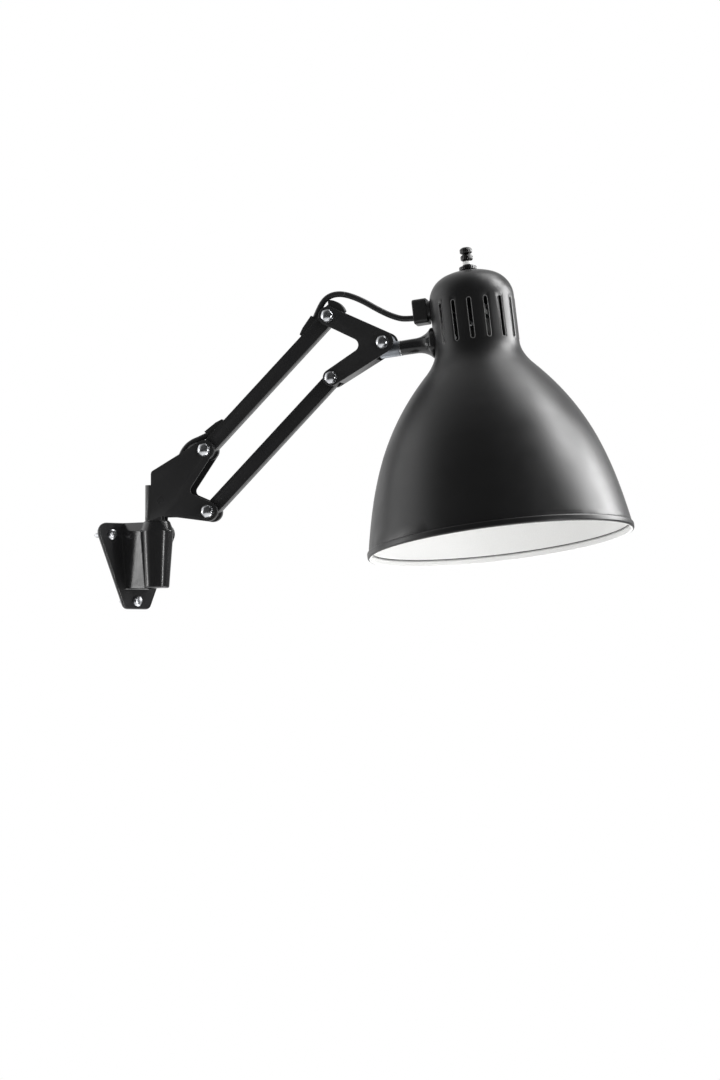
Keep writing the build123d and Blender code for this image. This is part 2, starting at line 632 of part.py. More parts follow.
keep("cord_front", tube_along(FRONT_ROUTE, corner_radii(FRONT_ROUTE), CORD_R), ARM)
keep("cord_rear", tube_along(REAR_ROUTE, corner_radii(REAR_ROUTE), CORD_R), ARM)
keep("cord_in_bar", tube_along(BAR_ROUTE, corner_radii(BAR_ROUTE), CORD_R), ARM)
drop = Cylinder(CORD_R, POST_CORD_HIGH - POST_CORD_LOW, align=(Align.CENTER, Align.CENTER, Align.MIN))
keep("cord_in_post", Pos(0, 0, POST_CORD_LOW) * drop, ARM)
WALL_ROUTE = [(0, -POST_OUT, POST_CORD_LOW), (0, -POST_OUT, CABLE_HOLE_Z), (0, 0, CABLE_HOLE_Z)]
keep("cord_to_wall", tube_along(WALL_ROUTE, [4.4 * CORD_R], CORD_R))


# ---------------------------------------------------------------- cord guides on the upper bar
def hood(mirrored):
    """Cover over the slot where the cord leaves the bar; x runs along the bar from the pivot."""
    top = HALF_BAR
    foot = GUIDE_FAR - GUIDE_FOOT

    def section(far, low, roof):
        high = top + GUIDE_HIGH - roof
        knee = (GUIDE_KNEE[0], top + GUIDE_KNEE[1] - roof)
        return Polygon((far, top + SEAT), (far, top + low - roof), knee, (GUIDE_NEAR, high), (GUIDE_NEAR, top + SEAT),
                       align=None)

    cover = across(section(GUIDE_FAR, GUIDE_LOW, 0), -GUIDE_WIDTH / 2, GUIDE_WIDTH / 2)
    room = CORD_R + 0.25
    cover -= across(section(foot, GUIDE_LOW, GUIDE_ROOF), -room, room)
    if mirrored:
        cover = mirror(cover, Plane.YZ)
    return cover


def drum_end():
    """Rounded end that the cord turns over, with two rails that join it to the hood."""
    disc = pin((0, 0), DRUM_R, -DRUM_WIDTH / 2, DRUM_WIDTH / 2)
    over = BAR + 2 * SEAT
    disc -= Box(4 * DRUM_R, 2 * BAR, over, align=(Align.MAX, Align.CENTER, Align.CENTER))
    disc -= pin((0, 0), over / 2, -BAR, BAR)
    disc -= Pos(0, 0, -over / 2) * Box(4 * DRUM_R, 2 * BAR, 4 * DRUM_R, align=(Align.CENTER, Align.CENTER, Align.MAX))
    disc -= Rot(0, -DRUM_START, 0) * Box(8 * DRUM_R, 2 * BAR, 8 * DRUM_R, align=(Align.CENTER, Align.CENTER, Align.MIN))
    rail_start = -GUIDE_NEAR - 1
    rail_end = 0.45 * DRUM_R
    wall = GUIDE_WIDTH / 2 - CORD_R - 0.25
    for side in (-1, 1):
        rail = Box(rail_end - rail_start, wall, RAIL_HIGH, align=(Align.MIN, Align.CENTER, Align.MIN))
        disc += Pos(rail_start, side * (GUIDE_WIDTH / 2 - wall / 2), over / 2) * rail
    return disc


rear_guide = hood(False)
keep("rear_cord_guide", rear_guide, at_pivot(REAR_UP, LINK_ANGLE))
front_guide = at_pivot(FRONT_UP, LINK_ANGLE) * (hood(True) + drum_end())
room_for_cord = ARM * sweep(Plane(origin=FRONT_ROUTE[0], z_dir=Vector(*FRONT_ROUTE[1]) - Vector(*FRONT_ROUTE[0]))
                            * Circle(CORD_R + 0.25),
                            path=FilletPolyline(*FRONT_ROUTE[:6], radius=corner_radii(FRONT_ROUTE[:6])))
front_guide -= room_for_cord
keep("front_cord_guide", front_guide)

# ---------------------------------------------------------------- lug, neck and stud
lug = pin((0, 0), LUG_EYE_R, -LUG_HALF, LUG_HALF)
barrel = Cylinder(LUG_BARREL_R, LUG_FACE_X - LUG_TAIL_X, align=(Align.CENTER, Align.CENTER, Align.MIN))
barrel = fillet(barrel.faces().sort_by(Axis.Z)[0].edges(), 1.5)
lug += Pos(LUG_TAIL_X, 0, -NECK_DROP) * Rot(0, 90, 0) * barrel
cheek_x = 0.5 * LUG_FACE_X
lug += Pos(cheek_x / 2, 0, -NECK_DROP / 2) * Box(cheek_x, 1.9 * LUG_BARREL_R, NECK_DROP)
lug -= pin((0, 0), BOLT_R + RUN, -BAR, BAR)
stud_bore = Cylinder(STUD_R + RUN, 2 * LUG_FACE_X, align=(Align.CENTER, Align.CENTER, Align.MIN))
lug -= Pos(STUD_TAIL_X - 0.5, 0, -NECK_DROP) * Rot(0, 90, 0) * stud_bore
SET_SCREW_X = 0.5 * (STUD_TAIL_X + LUG_FACE_X) + 0.6
set_place = Pos(SET_SCREW_X, 0, -NECK_DROP) * Rot(-90, 0, 0)
lug -= set_place * Cylinder(SET_SCREW_R + 0.02, 2 * LUG_BARREL_R, align=(Align.CENTER, Align.CENTER, Align.MIN))
keep("head_lug", lug, HEAD_AT)

set_low = STUD_R - 0.5 * STUD_GROOVE
set_screw = Pos(0, 0, set_low) * Cylinder(SET_SCREW_R, LUG_BARREL_R - 0.4 - set_low,
                                          align=(Align.CENTER, Align.CENTER, Align.MIN))
set_screw -= Pos(0, 0, LUG_BARREL_R - 1.6) * extrude(hexagon(2.0), amount=3)
keep("swivel_set_screw", set_place * set_screw, HEAD_AT)

washer = Cylinder(LUG_BARREL_R + 0.1, NECK_WASHER_THICK - SEAT, align=(Align.CENTER, Align.CENTER, Align.MIN))
washer -= Cylinder(STUD_R + RUN, 4 * NECK_WASHER_THICK)
keep("neck_washer", Pos(0, 0, LUG_FACE_X + SEAT) * washer, NECK_AXIS)

NECK_START = LUG_FACE_X + NECK_WASHER_THICK
CAP_FACE_X = SHADE_OUT - CAP_R
neck_run = [
    Line((STUD_R + 0.02, NECK_START), (NECK_END_R, NECK_START)),
    Line((NECK_END_R, NECK_START), (NECK_END_R + 0.2, CAP_FACE_X - 17.0)),
    ThreePointArc((NECK_END_R + 0.2, CAP_FACE_X - 17.0), (9.0, CAP_FACE_X - 8.2), (NECK_FLANGE_R - 0.4, CAP_FACE_X - 2.2)),
    Line((NECK_FLANGE_R - 0.4, CAP_FACE_X - 2.2), (NECK_FLANGE_R, CAP_FACE_X - 1.2)),
    Line((NECK_FLANGE_R, CAP_FACE_X - 1.2), (NECK_FLANGE_R, CAP_FACE_X + 4)),
    Line((NECK_FLANGE_R, CAP_FACE_X + 4), (STUD_R + 0.02, CAP_FACE_X + 4)),
    Line((STUD_R + 0.02, CAP_FACE_X + 4), (STUD_R + 0.02, NECK_START)),
]
neck = NECK_AXIS * revolve(Plane.XZ * make_face(neck_run), Axis.Z)

WALL_IN_X = CAP_FACE_X + SHADE_WALL
stud_nut_x = WALL_IN_X + 0.85
stud_end = stud_nut_x + STUD_NUT_HIGH + 1.5
stud = Pos(0, 0, STUD_TAIL_X) * Cylinder(STUD_R, stud_end - STUD_TAIL_X, align=(Align.CENTER, Align.CENTER, Align.MIN))
stud -= Cylinder(STUD_BORE_R, 4 * stud_end)
groove = Pos(0, 0, SET_SCREW_X) * (Cylinder(2 * STUD_R, 2 * SET_SCREW_R + 0.4)
                                   - Cylinder(STUD_R - STUD_GROOVE, 4 * SET_SCREW_R))
keep("neck_stud", stud - groove, NECK_AXIS)
stud_nut = extrude(hexagon(STUD_NUT_AF) - Circle(STUD_R + 0.02), amount=STUD_NUT_HIGH)
keep("stud_nut", Pos(0, 0, stud_nut_x) * stud_nut, NECK_AXIS)


# ---------------------------------------------------------------- shade and rim
BELL_STOPS = [((CAP_R, CAP_LOW_Z), 0), *BELL, ((RIM_R, RIM_Z), RIM_LEAN)]


def way_down(lean):
    """Direction of the outline, by its lean out from straight down."""
    return Vector(sin(radians(lean)), -cos(radians(lean)))


def inward(direction):
    """Square to a direction of the outline, towards the shade's inside."""
    return Vector(direction.Y, -direction.X)


def arc_pair(start, way_in, end, way_out):
    """Two arcs that leave one point and reach the next in given directions."""
    v, t = end - start, way_in + way_out
    bend = 2 * (1 - way_in.dot(way_out))
    if bend < 1e-6:
        reach = v.dot(v) / (2 * v.dot(t))
    else:
        reach = (sqrt(v.dot(t) ** 2 + bend * v.dot(v)) - v.dot(t)) / bend
    middle = (start + way_in * reach + end - way_out * reach) / 2
    first = TangentArc(start, middle, tangent=way_in)
    return [first, TangentArc(middle, end, tangent=first % 1)]


def bell(inset):
    """The bell's outline as tangent arcs, moved square to itself by an inset."""
    stops = [(Vector(*stop) + inward(way_down(lean)) * inset, way_down(lean)) for stop, lean in BELL_STOPS]
    arcs = []
    for (here, way_in), (there, way_out) in zip(stops, stops[1:]):
        arcs += arc_pair(here, way_in, there, way_out)
    return arcs


def moved_arc(start, middle, end, inset):
    """Three points of an arc that is moved towards its centre by the inset."""
    arc = ThreePointArc(start, middle, end)
    share = (arc.radius - inset) / arc.radius
    moved = [arc.arc_center + (Vector(*p) - arc.arc_center) * share for p in (start, middle, end)]
    return [(p.X, p.Y) for p in moved]


def shell_outline(inset):
    """Outline from the crown's top to the rim."""
    top = moved_arc((0, CROWN_Z), (0.52 * CROWN_EDGE[0], CROWN_Z - 1.25), CROWN_EDGE, inset)
    side = moved_arc(CROWN_EDGE, (34.1, 40.6), (CAP_R, CAP_TOP_Z), inset)
    top[0] = (0, CROWN_Z - inset)
    side[0] = top[2]
    side[2] = (CAP_R - inset, CAP_TOP_Z)
    return [ThreePointArc(*top), ThreePointArc(*side), Line(side[2], (CAP_R - inset, CAP_LOW_Z)), *bell(inset)]


def filled(inset):
    """The room inside an outline, as one solid."""
    lines = shell_outline(inset)
    low = (0, (lines[-1] @ 1).Y)
    return revolve(Plane.XZ * make_face([*lines, Line(lines[-1] @ 1, low), Line(low, lines[0] @ 0)]), Axis.Z)


outer_line, inner_line = shell_outline(0), shell_outline(SHADE_WALL)
shell_face = make_face([*outer_line, Line(outer_line[-1] @ 1, inner_line[-1] @ 1), *inner_line,
                        Line(inner_line[0] @ 0, outer_line[0] @ 0)])
shade = revolve(Plane.XZ * shell_face, Axis.Z)
vent = SlotOverall(VENT_LENGTH, VENT_WIDTH, rotation=90)
vent_cut = Pos(0, 0, VENT_MID_Z) * extrude(Plane.XZ * vent, amount=2 * CAP_R)
for k in range(VENT_COUNT):
    shade -= Rot(0, 0, VENT_START + k * VENT_PITCH) * vent_cut
shade -= Cylinder(SWITCH_BUSH_R + 0.1, 4 * CROWN_Z)
toward_arm = Rot(0, -90, 0)
for height, radius in ((-NECK_DROP, STUD_R), (GLAND_Z, GLAND_THREAD_R)):
    hole = Cylinder(radius + 0.1, 2 * CAP_R, align=(Align.CENTER, Align.CENTER, Align.MIN))
    shade -= Pos(0, 0, height) * toward_arm * hole
keep("shade", shade, SHADE_AXIS)
SHADE_ROOM = filled(-0.05)  # what seats on the shade's outside is cut by this
keep("neck", neck - SHADE_AXIS * SHADE_ROOM)

rim_way = way_down(RIM_LEAN)
rim_in = inward(rim_way)
rim_edge = Vector(RIM_R, RIM_Z)
ring_middle = rim_edge + rim_in * (SHADE_WALL / 2) - Vector(0, RIM_RING_DROP)
groove_low = [rim_edge - rim_in * 0.05 + rim_way * 0.05, rim_edge + rim_in * (SHADE_WALL + 0.05) + rim_way * 0.05]
groove_high = [p - rim_way * (3 * RIM_RING_R) for p in groove_low]
groove_face = Polygon(*[(p.X, p.Y) for p in (groove_low[1], groove_low[0], *groove_high)], align=None)
ring_face = Pos(ring_middle.X, ring_middle.Y) * SlotOverall(RIM_RING_HIGH, 2 * RIM_RING_R, rotation=90)
keep("rim_ring", revolve(Plane.XZ * (ring_face - groove_face), Axis.Z), SHADE_AXIS)


LINER_OUT, LINER_IN = bell(SHADE_WALL + LINER_GAP), bell(SHADE_WALL + LINER_GAP + LINER_WALL)
liner_face = make_face([*LINER_OUT, Line(LINER_OUT[-1] @ 1, LINER_IN[-1] @ 1), *LINER_IN,
                        Line(LINER_IN[0] @ 0, LINER_OUT[0] @ 0)])
liner = revolve(Plane.XZ * liner_face, Axis.Z)
liner_band = Pos(0, 0, LINER_LOW_Z) * Cylinder(2 * RIM_R, LINER_HIGH_Z - LINER_LOW_Z,
                                               align=(Align.CENTER, Align.CENTER, Align.MIN))
keep("reflector", liner & liner_band, SHADE_AXIS)

# ---------------------------------------------------------------- cord gland
block_face = RectangleRounded(GLAND_HIGH, GLAND_WIDE, GLAND_CORNER)
gland = extrude(block_face, amount=GLAND_LONG)
gland = fillet(gland.faces().sort_by(Axis.Z)[0].edges(), 1.2)
gland += Pos(0, 0, GLAND_LONG) * Cylinder(GLAND_COLLAR_R, GLAND_COLLAR_LONG + 3, align=(Align.CENTER, Align.CENTER, Align.MIN))
gland = Pos(GLAND_FACE_X - SHADE_OUT, 0, GLAND_Z) * Rot(0, 90, 0) * gland
gland -= SHADE_ROOM
thread_end = WALL_IN_X + 1.1 + GLAND_NUT_HIGH + 1.2 - SHADE_OUT
thread_start = GLAND_FACE_X + 0.8 * GLAND_LONG - SHADE_OUT
thread = Pos(thread_start, 0, GLAND_Z) * Rot(0, 90, 0) * Cylinder(GLAND_THREAD_R, thread_end - thread_start,
                                                                 align=(Align.CENTER, Align.CENTER, Align.MIN))
gland += thread
inner_start = GLAND_FACE_X + 0.55 * GLAND_LONG - SHADE_OUT
gland -= Pos(inner_start, 0, GLAND_Z) * Rot(0, 90, 0) * Cylinder(GLAND_THREAD_R - 1.6, 60,
                                                                align=(Align.CENTER, Align.CENTER, Align.MIN))
cord_hole = Cylinder(CORD_R + 0.15, 0.75 * GLAND_LONG + 1, align=(Align.CENTER, Align.CENTER, Align.MIN))
gland -= Pos(GLAND_FACE_X - SHADE_OUT - 1, 0, GLAND_CORD_Z) * Rot(0, 90, 0) * cord_hole
keep("cord_gland", gland, SHADE_AXIS)
gland_nut = extrude(hexagon(GLAND_NUT_AF) - Circle(GLAND_THREAD_R + 0.02), amount=GLAND_NUT_HIGH)
keep("gland_nut", Pos(WALL_IN_X + 1.1 - SHADE_OUT, 0, GLAND_Z) * Rot(0, 90, 0) * gland_nut, SHADE_AXIS)

# ---------------------------------------------------------------- switch, holder strap, holder, bulb
STRAP_TOP_Z = CROWN_Z - 6.3
bush_top = CROWN_Z + SWITCH_NUT_HIGH - 0.4
switch = Pos(0, 0, STRAP_TOP_Z - STRAP_THICK - SWITCH_BODY_LONG) * Cylinder(
    SWITCH_BODY_R, SWITCH_BODY_LONG, align=(Align.CENTER, Align.CENTER, Align.MIN))
switch_low = STRAP_TOP_Z - STRAP_THICK - SWITCH_BODY_LONG
switch += Pos(0, 0, switch_low + SWITCH_BODY_LONG) * Cylinder(
    SWITCH_BUSH_R, bush_top - switch_low - SWITCH_BODY_LONG, align=(Align.CENTER, Align.CENTER, Align.MIN))
stem_low = STRAP_TOP_Z - 6
switch -= Pos(0, 0, stem_low) * Cylinder(SWITCH_STEM_R + RUN, 40, align=(Align.CENTER, Align.CENTER, Align.MIN))
keep("switch_body", switch, SHADE_AXIS)

nut = Pos(0, 0, CROWN_Z + 0.03) * Cylinder(SWITCH_NUT_R, SWITCH_NUT_HIGH, align=(Align.CENTER, Align.CENTER, Align.MIN))
nut = chamfer(nut.edges().filter_by(GeomType.CIRCLE), 0.7)
keep("switch_nut", nut - Cylinder(SWITCH_BUSH_R + 0.02, 4 * CROWN_Z), SHADE_AXIS)
inner_nut_high = CROWN_Z - SHADE_WALL - 0.6 - STRAP_TOP_Z
inner_nut = Pos(0, 0, STRAP_TOP_Z) * extrude(hexagon(13.0) - Circle(SWITCH_BUSH_R + 0.02), amount=inner_nut_high)
keep("switch_lock_nut", inner_nut, SHADE_AXIS)

knob_points = [(0, stem_low + 0.5), (SWITCH_STEM_R, stem_low + 0.5), (SWITCH_STEM_R, KNOB_STEM_TOP)]
for bead in range(2):
    low = KNOB_STEM_TOP + bead * (KNOB_BEAD + 0.5)
    knob_points += [(KNOB_R - 1.2, low), (KNOB_R, low + 1.2), (KNOB_R, low + KNOB_BEAD - 1.2),
                    (KNOB_R - 1.2, low + KNOB_BEAD)]
    if bead == 0:
        knob_points.append((KNOB_WAIST_R - 0.4, low + KNOB_BEAD + 0.25))
knob_points.append((0, KNOB_STEM_TOP + 2 * KNOB_BEAD + 0.5))
keep("switch_knob", turned(knob_points), SHADE_AXIS)

strap_face = Pos(0, STRAP_TOP_Z) * Rectangle(2 * STRAP_HALF, STRAP_TOP_Z - STRAP_LOW_Z, align=(Align.CENTER, Align.MAX))
strap_face = fillet(strap_face.vertices().group_by(Axis.Y)[-1], 3)
strap_room = Pos(0, STRAP_TOP_Z - STRAP_THICK) * Rectangle(2 * (STRAP_HALF - STRAP_THICK), 2 * STRAP_TOP_Z,
                                                           align=(Align.CENTER, Align.MAX))
strap_room = fillet(strap_room.vertices().group_by(Axis.Y)[-1], 3 - STRAP_THICK)
strap = Rot(0, 0, 90) * across(strap_face - strap_room, -STRAP_WIDE / 2, STRAP_WIDE / 2)
strap -= Cylinder(SWITCH_BUSH_R + 0.05, 4 * CROWN_Z)
HOLDER_SCREW_Z = STRAP_LOW_Z + 4
screw_hole = Pos(0, 0, HOLDER_SCREW_Z) * Rot(90, 0, 0) * Cylinder(1.55, 6 * HOLDER_R)
keep("holder_strap", strap - screw_hole, SHADE_AXIS)

holder_points = [(0, HOLDER_BOTTOM_Z + HOLDER_BORE_DEEP), (HOLDER_BORE_R, HOLDER_BOTTOM_Z + HOLDER_BORE_DEEP),
                 (HOLDER_BORE_R, HOLDER_BOTTOM_Z), (HOLDER_R - 1, HOLDER_BOTTOM_Z), (HOLDER_R, HOLDER_BOTTOM_Z + 1),
                 (HOLDER_R, HOLDER_TOP_Z - 6), (HOLDER_CAP_R, HOLDER_TOP_Z),
                 (HOLDER_CAP_R, HOLDER_TOP_Z + HOLDER_CAP_HIGH), (0, HOLDER_TOP_Z + HOLDER_CAP_HIGH)]
holder = turned(holder_points)
tip_depth = 4.5
for side in (-1, 1):
    hole = Rot(0, 0, 90 * side) * Pos(HOLDER_R - tip_depth, 0, HOLDER_SCREW_Z) * Rot(0, 90, 0)
    holder -= hole * Cylinder(1.52, 10, align=(Align.CENTER, Align.CENTER, Align.MIN))
keep("lamp_holder", holder, SHADE_AXIS)


def holder_screw():
    """Small pan-head screw through the strap's leg into the holder."""
    face = STRAP_HALF + 0.02
    points = [(0, HOLDER_R - tip_depth + 0.3), (1.5, HOLDER_R - tip_depth + 0.3), (1.5, face), (2.8, face),
              (2.8, face + 1.2), (1.6, face + 1.9), (0, face + 1.9)]
    return turned(points) - Pos(0, 0, face + 1.9) * Box(0.6, 6, 1.4)


screw_frames = [Rot(0, 0, 90 * side) * Pos(0, 0, HOLDER_SCREW_Z) * Rot(0, 90, 0) for side in (-1, 1)]
keep("holder_screws", [f * holder_screw() for f in screw_frames], SHADE_AXIS)

contact_z = HOLDER_BOTTOM_Z + HOLDER_BORE_DEEP - 0.1
base_points = [(0, contact_z), (4.5, contact_z), (5.5, contact_z - 1.5), (BULB_BASE_R - 1, contact_z - 3),
               (BULB_BASE_R, contact_z - 4.5), (BULB_BASE_R, HOLDER_BOTTOM_Z - 1.5), (0, HOLDER_BOTTOM_Z - 1.5)]
keep("bulb_base", turned(base_points), SHADE_AXIS)
glass_top = HOLDER_BOTTOM_Z - 1.5
globe_z = BULB_BOTTOM_Z + BULB_R


def glass_outline(inset):
    """The bulb's outline from its neck to its lowest point."""
    globe, neck = BULB_R - inset, BULB_NECK_R - inset
    shoulder = (globe * cos(radians(30)), globe_z + globe * sin(radians(30)))
    waist = (neck + BULB_WAIST[1], glass_top - BULB_WAIST[0])
    return [Line((neck, glass_top), waist), ThreePointArc(waist, (BULB_FLARE[0] - inset, globe_z + BULB_FLARE[1]), shoulder),
            ThreePointArc(shoulder, (globe, globe_z), (0, globe_z - globe))]


glass_out, glass_in = glass_outline(0), glass_outline(BULB_WALL)
glass_face = make_face([*glass_out, Line(glass_out[-1] @ 1, glass_in[-1] @ 1), *glass_in,
                        Line(glass_in[0] @ 0, glass_out[0] @ 0)])
keep("bulb_glass", revolve(Plane.XZ * glass_face, Axis.Z), SHADE_AXIS)

# ---------------------------------------------------------------- leads inside the cap
lead_start = thread_end - 0.5
cap_top = HOLDER_TOP_Z + 0.55 * HOLDER_CAP_HIGH
LEADS = [
    [(lead_start, -1.3, GLAND_Z), (lead_start + 7, -1.3, GLAND_Z + 3), (-14, -1.3, 34.0), (-SWITCH_BODY_R, -1.3, 36.0)],
    [(lead_start, 1.3, GLAND_Z), (lead_start + 6, 1.3, GLAND_Z + 0.8), (-19, 1.6, 19.0), (-HOLDER_CAP_R + 0.1, 1.6, cap_top)],
    [(SWITCH_BODY_R, 0, 34.0), (SWITCH_BODY_R + 6, 0.5, 33.0), (19, 0.5, 24.0), (18, 0, 18.0), (HOLDER_CAP_R - 0.1, 0, cap_top)],
]
lead_clear = Cylinder(SWITCH_BODY_R + 0.05, 2 * SWITCH_BODY_R, align=(Align.CENTER, Align.CENTER, Align.MIN))
lead_stop = Pos(0, 0, HOLDER_TOP_Z + HOLDER_CAP_HIGH) * lead_clear
lead_stop += Cylinder(HOLDER_CAP_R + 0.05, HOLDER_TOP_Z + HOLDER_CAP_HIGH, align=(Align.CENTER, Align.CENTER, Align.MIN))
leads = [tube_along(route, corner_radii(route), LEAD_R) - lead_stop for route in LEADS]
keep("inner_leads", leads, SHADE_AXIS)
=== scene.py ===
# %% [markdown]
# # Articulating wall lamp
# A black lamp on a wall bracket: a parallelogram arm of two square bars, a friction head and a spun
# bell shade. The imported CAD model is loaded first and never moved. Each piece below either gives a
# CAD piece a better surface or replaces it with a finer mesh in the same place. The copies then ride
# on the body that carries them, while the cord stays where it is drawn. Reading the frame once and
# building around it means that no piece has to be fitted by eye.

# %% Load the frame
import bpy, bmesh, json, math
from mathutils import Matrix, Vector


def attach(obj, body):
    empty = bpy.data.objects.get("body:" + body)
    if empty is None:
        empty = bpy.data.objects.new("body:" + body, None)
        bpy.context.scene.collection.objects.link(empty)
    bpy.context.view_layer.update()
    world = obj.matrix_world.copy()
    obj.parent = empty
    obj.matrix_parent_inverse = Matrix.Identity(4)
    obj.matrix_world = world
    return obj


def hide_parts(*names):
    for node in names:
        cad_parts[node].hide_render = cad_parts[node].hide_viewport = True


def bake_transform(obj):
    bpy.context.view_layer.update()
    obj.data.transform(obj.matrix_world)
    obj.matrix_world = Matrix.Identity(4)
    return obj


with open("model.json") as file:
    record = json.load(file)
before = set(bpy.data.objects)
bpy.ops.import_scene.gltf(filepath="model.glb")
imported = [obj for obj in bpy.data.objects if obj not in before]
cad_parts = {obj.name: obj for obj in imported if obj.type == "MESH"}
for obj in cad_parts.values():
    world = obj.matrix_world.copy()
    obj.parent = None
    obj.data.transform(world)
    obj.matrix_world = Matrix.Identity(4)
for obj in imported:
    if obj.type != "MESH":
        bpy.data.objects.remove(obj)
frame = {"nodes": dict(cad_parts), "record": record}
NODES = frame["nodes"]
BEHAVIOUR = frame["record"]["behaviour"]
JOINTS = {joint["name"]: joint for joint in BEHAVIOUR["joints"]}
BODY_OF = {node: body for body, nodes in BEHAVIOUR["bodies"].items() for node in nodes}
SCENE = bpy.context.scene
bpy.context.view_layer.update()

# %% [markdown]
# ## Frames
# The arm lies in one upright plane, turned about the post. A point of that plane is given in
# millimetres along the arm and above the plate's middle, because that is how the arm would be drawn
# on paper. World coordinates would do as well, but every number would then mix the arm's turn with
# its shape. A matrix keeps the two apart.

# %% Frame of the arm
MM = 0.001
POST_OUT = 36.5  # the post's axis in front of the wall, mm
ARM_TURN = -47  # degrees about the post
ARM = Matrix.Translation((0, -POST_OUT * MM, 0)) @ Matrix.Rotation(math.radians(ARM_TURN), 4, "Z")


def on_arm(x, z, y=0.0):
    """A point of the arm's plane, in metres in the row frame."""
    return ARM @ Vector((x * MM, y * MM, z * MM))


print("the post stands at", [round(c, 4) for c in on_arm(0, 0)])

# %% [markdown]
# The head has a frame of its own: z runs up the shade's axis and x along the neck. Both directions
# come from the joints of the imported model, so the frame stays right if the head's place changes.

# %% Frame of the head
KNOB_JOINT_UP = 58  # the knob's joint above the frame's origin, mm


def frame_from(origin, z_way, x_hint):
    """A frame with z along one direction and x near another."""
    z = Vector(z_way).normalized()
    x = (Vector(x_hint) - z * Vector(x_hint).dot(z)).normalized()
    turn = Matrix((x, z.cross(x), z)).transposed().to_4x4()
    return Matrix.Translation(origin) @ turn


neck_way = Vector(JOINTS["head_swivel"]["axis"])
shade_way = Vector(JOINTS["knob_turn"]["axis"])
knob_at = Vector(JOINTS["knob_turn"]["pos_m"])
SHADE = frame_from(knob_at - shade_way * KNOB_JOINT_UP * MM, shade_way, neck_way)
print("shade frame at", [round(c, 4) for c in SHADE.translation])

# %% [markdown]
# ## Camera
# The photograph was taken with a long lens from a little below the lamp, 35 degrees to the left of
# the wall's normal. A long lens keeps the two sides of the shade almost parallel, which a short one
# would spread. The sensor's longer side is the picture's height, so the fit is vertical.

# %% Camera
LEFT_OF_WALL, LOOK_UP = math.radians(35), math.radians(2)
look = Vector((math.sin(LEFT_OF_WALL), math.cos(LEFT_OF_WALL), math.tan(LOOK_UP)))
camera = bpy.data.cameras.new("camera")
camera.lens = 160
camera.sensor_width = 36
camera.sensor_fit = "VERTICAL"
camera.sensor_height = 36
camera.clip_end = 40
eye = bpy.data.objects.new("camera", camera)
eye.location = (-2.3582, -3.7271, -0.1296)
eye.rotation_euler = look.to_track_quat("-Z", "Y").to_euler()
SCENE.collection.objects.link(eye)
bpy.context.scene.camera = eye
SIDE = Vector((look.y, -look.x, 0)).normalized()  # to the camera's right
AHEAD = Vector((look.x, look.y, 0)).normalized()
print("camera", round((eye.location - SHADE.translation).length, 3), "m from the head")

# %% [markdown]
# ## World
# The lamp stands in front of plain white. The world could be one white colour, but then nearly black
# paint would mirror white from every side and look grey. So three rays get three answers: the camera
# sees white, soft light is a plain grey, and reflections see a white wall behind the lamp and a dark
# room on the side that the picture is taken from.

# %% World nodes
world = bpy.data.worlds.new("studio")
bpy.context.scene.world = world
bpy.context.scene.view_settings.view_transform = "Standard"
world.use_nodes = True
sky = world.node_tree
sky.nodes.clear()
SOFT_LIGHT = 0.72


def sky_node(kind, setting="", value=None, **inputs):
    """A node of the world, with one property and some inputs set."""
    node = sky.nodes.new(kind)
    if setting:
        setattr(node, setting, value)
    for key, number in inputs.items():
        node.inputs[key.replace("_", " ")].default_value = number
    return node


path = sky_node("ShaderNodeLightPath")
seen = sky_node("ShaderNodeBackground", Color=(1, 1, 1, 1))
soft = sky_node("ShaderNodeBackground", Color=(SOFT_LIGHT, SOFT_LIGHT, SOFT_LIGHT, 1))
mirrored = sky_node("ShaderNodeBackground", Color=(1, 1, 1, 1))
print("soft light", SOFT_LIGHT, "white to the camera", seen.inputs["Color"].default_value[0])

# %% [markdown]
# The white wall in the reflections fades out towards the camera, and it ends a little to the right
# of the lamp, where the photograph's shade has a bright band with a darker edge. Each fade is the
# angle between the ray and a direction, mapped smoothly onto a strength.

# %% White wall in reflections
way = sky_node("ShaderNodeTexCoord")


def fade_along(direction, start, end, low, high):
    """A strength that goes from low to high as a ray turns towards a direction."""
    angle = sky_node("ShaderNodeVectorMath", "operation", "DOT_PRODUCT")
    angle.inputs[1].default_value = direction
    sky.links.new(way.outputs["Generated"], angle.inputs[0])
    fade = sky_node("ShaderNodeMapRange", "interpolation_type", "SMOOTHSTEP",
                    From_Min=start, From_Max=end, To_Min=low, To_Max=high)
    sky.links.new(angle.outputs["Value"], fade.inputs["Value"])
    return fade.outputs["Result"]


WALL_WAY = AHEAD - SIDE * 0.35  # the wall's middle is a little to the left of straight ahead
wall = sky_node("ShaderNodeMath", "operation", "MULTIPLY")
towards_wall = fade_along(WALL_WAY, start=-0.35, end=0.75, low=0.05, high=0.8)
past_its_end = fade_along(SIDE, start=0.05, end=0.6, low=1.0, high=0.25)
sky.links.new(towards_wall, wall.inputs[0])
sky.links.new(past_its_end, wall.inputs[1])
sky.links.new(wall.outputs[0], mirrored.inputs["Strength"])

pick_mirrored = sky_node("ShaderNodeMixShader")
pick_seen = sky_node("ShaderNodeMixShader")
surface = sky_node("ShaderNodeOutputWorld")
for source, target in ((path.outputs["Is Glossy Ray"], pick_mirrored.inputs[0]),
                       (soft.outputs[0], pick_mirrored.inputs[1]),
                       (mirrored.outputs[0], pick_mirrored.inputs[2]),
                       (path.outputs["Is Camera Ray"], pick_seen.inputs[0]),
                       (pick_mirrored.outputs[0], pick_seen.inputs[1]),
                       (seen.outputs[0], pick_seen.inputs[2]),
                       (pick_seen.outputs[0], surface.inputs["Surface"])):
    sky.links.new(source, target)
print("world nodes:", len(sky.nodes))

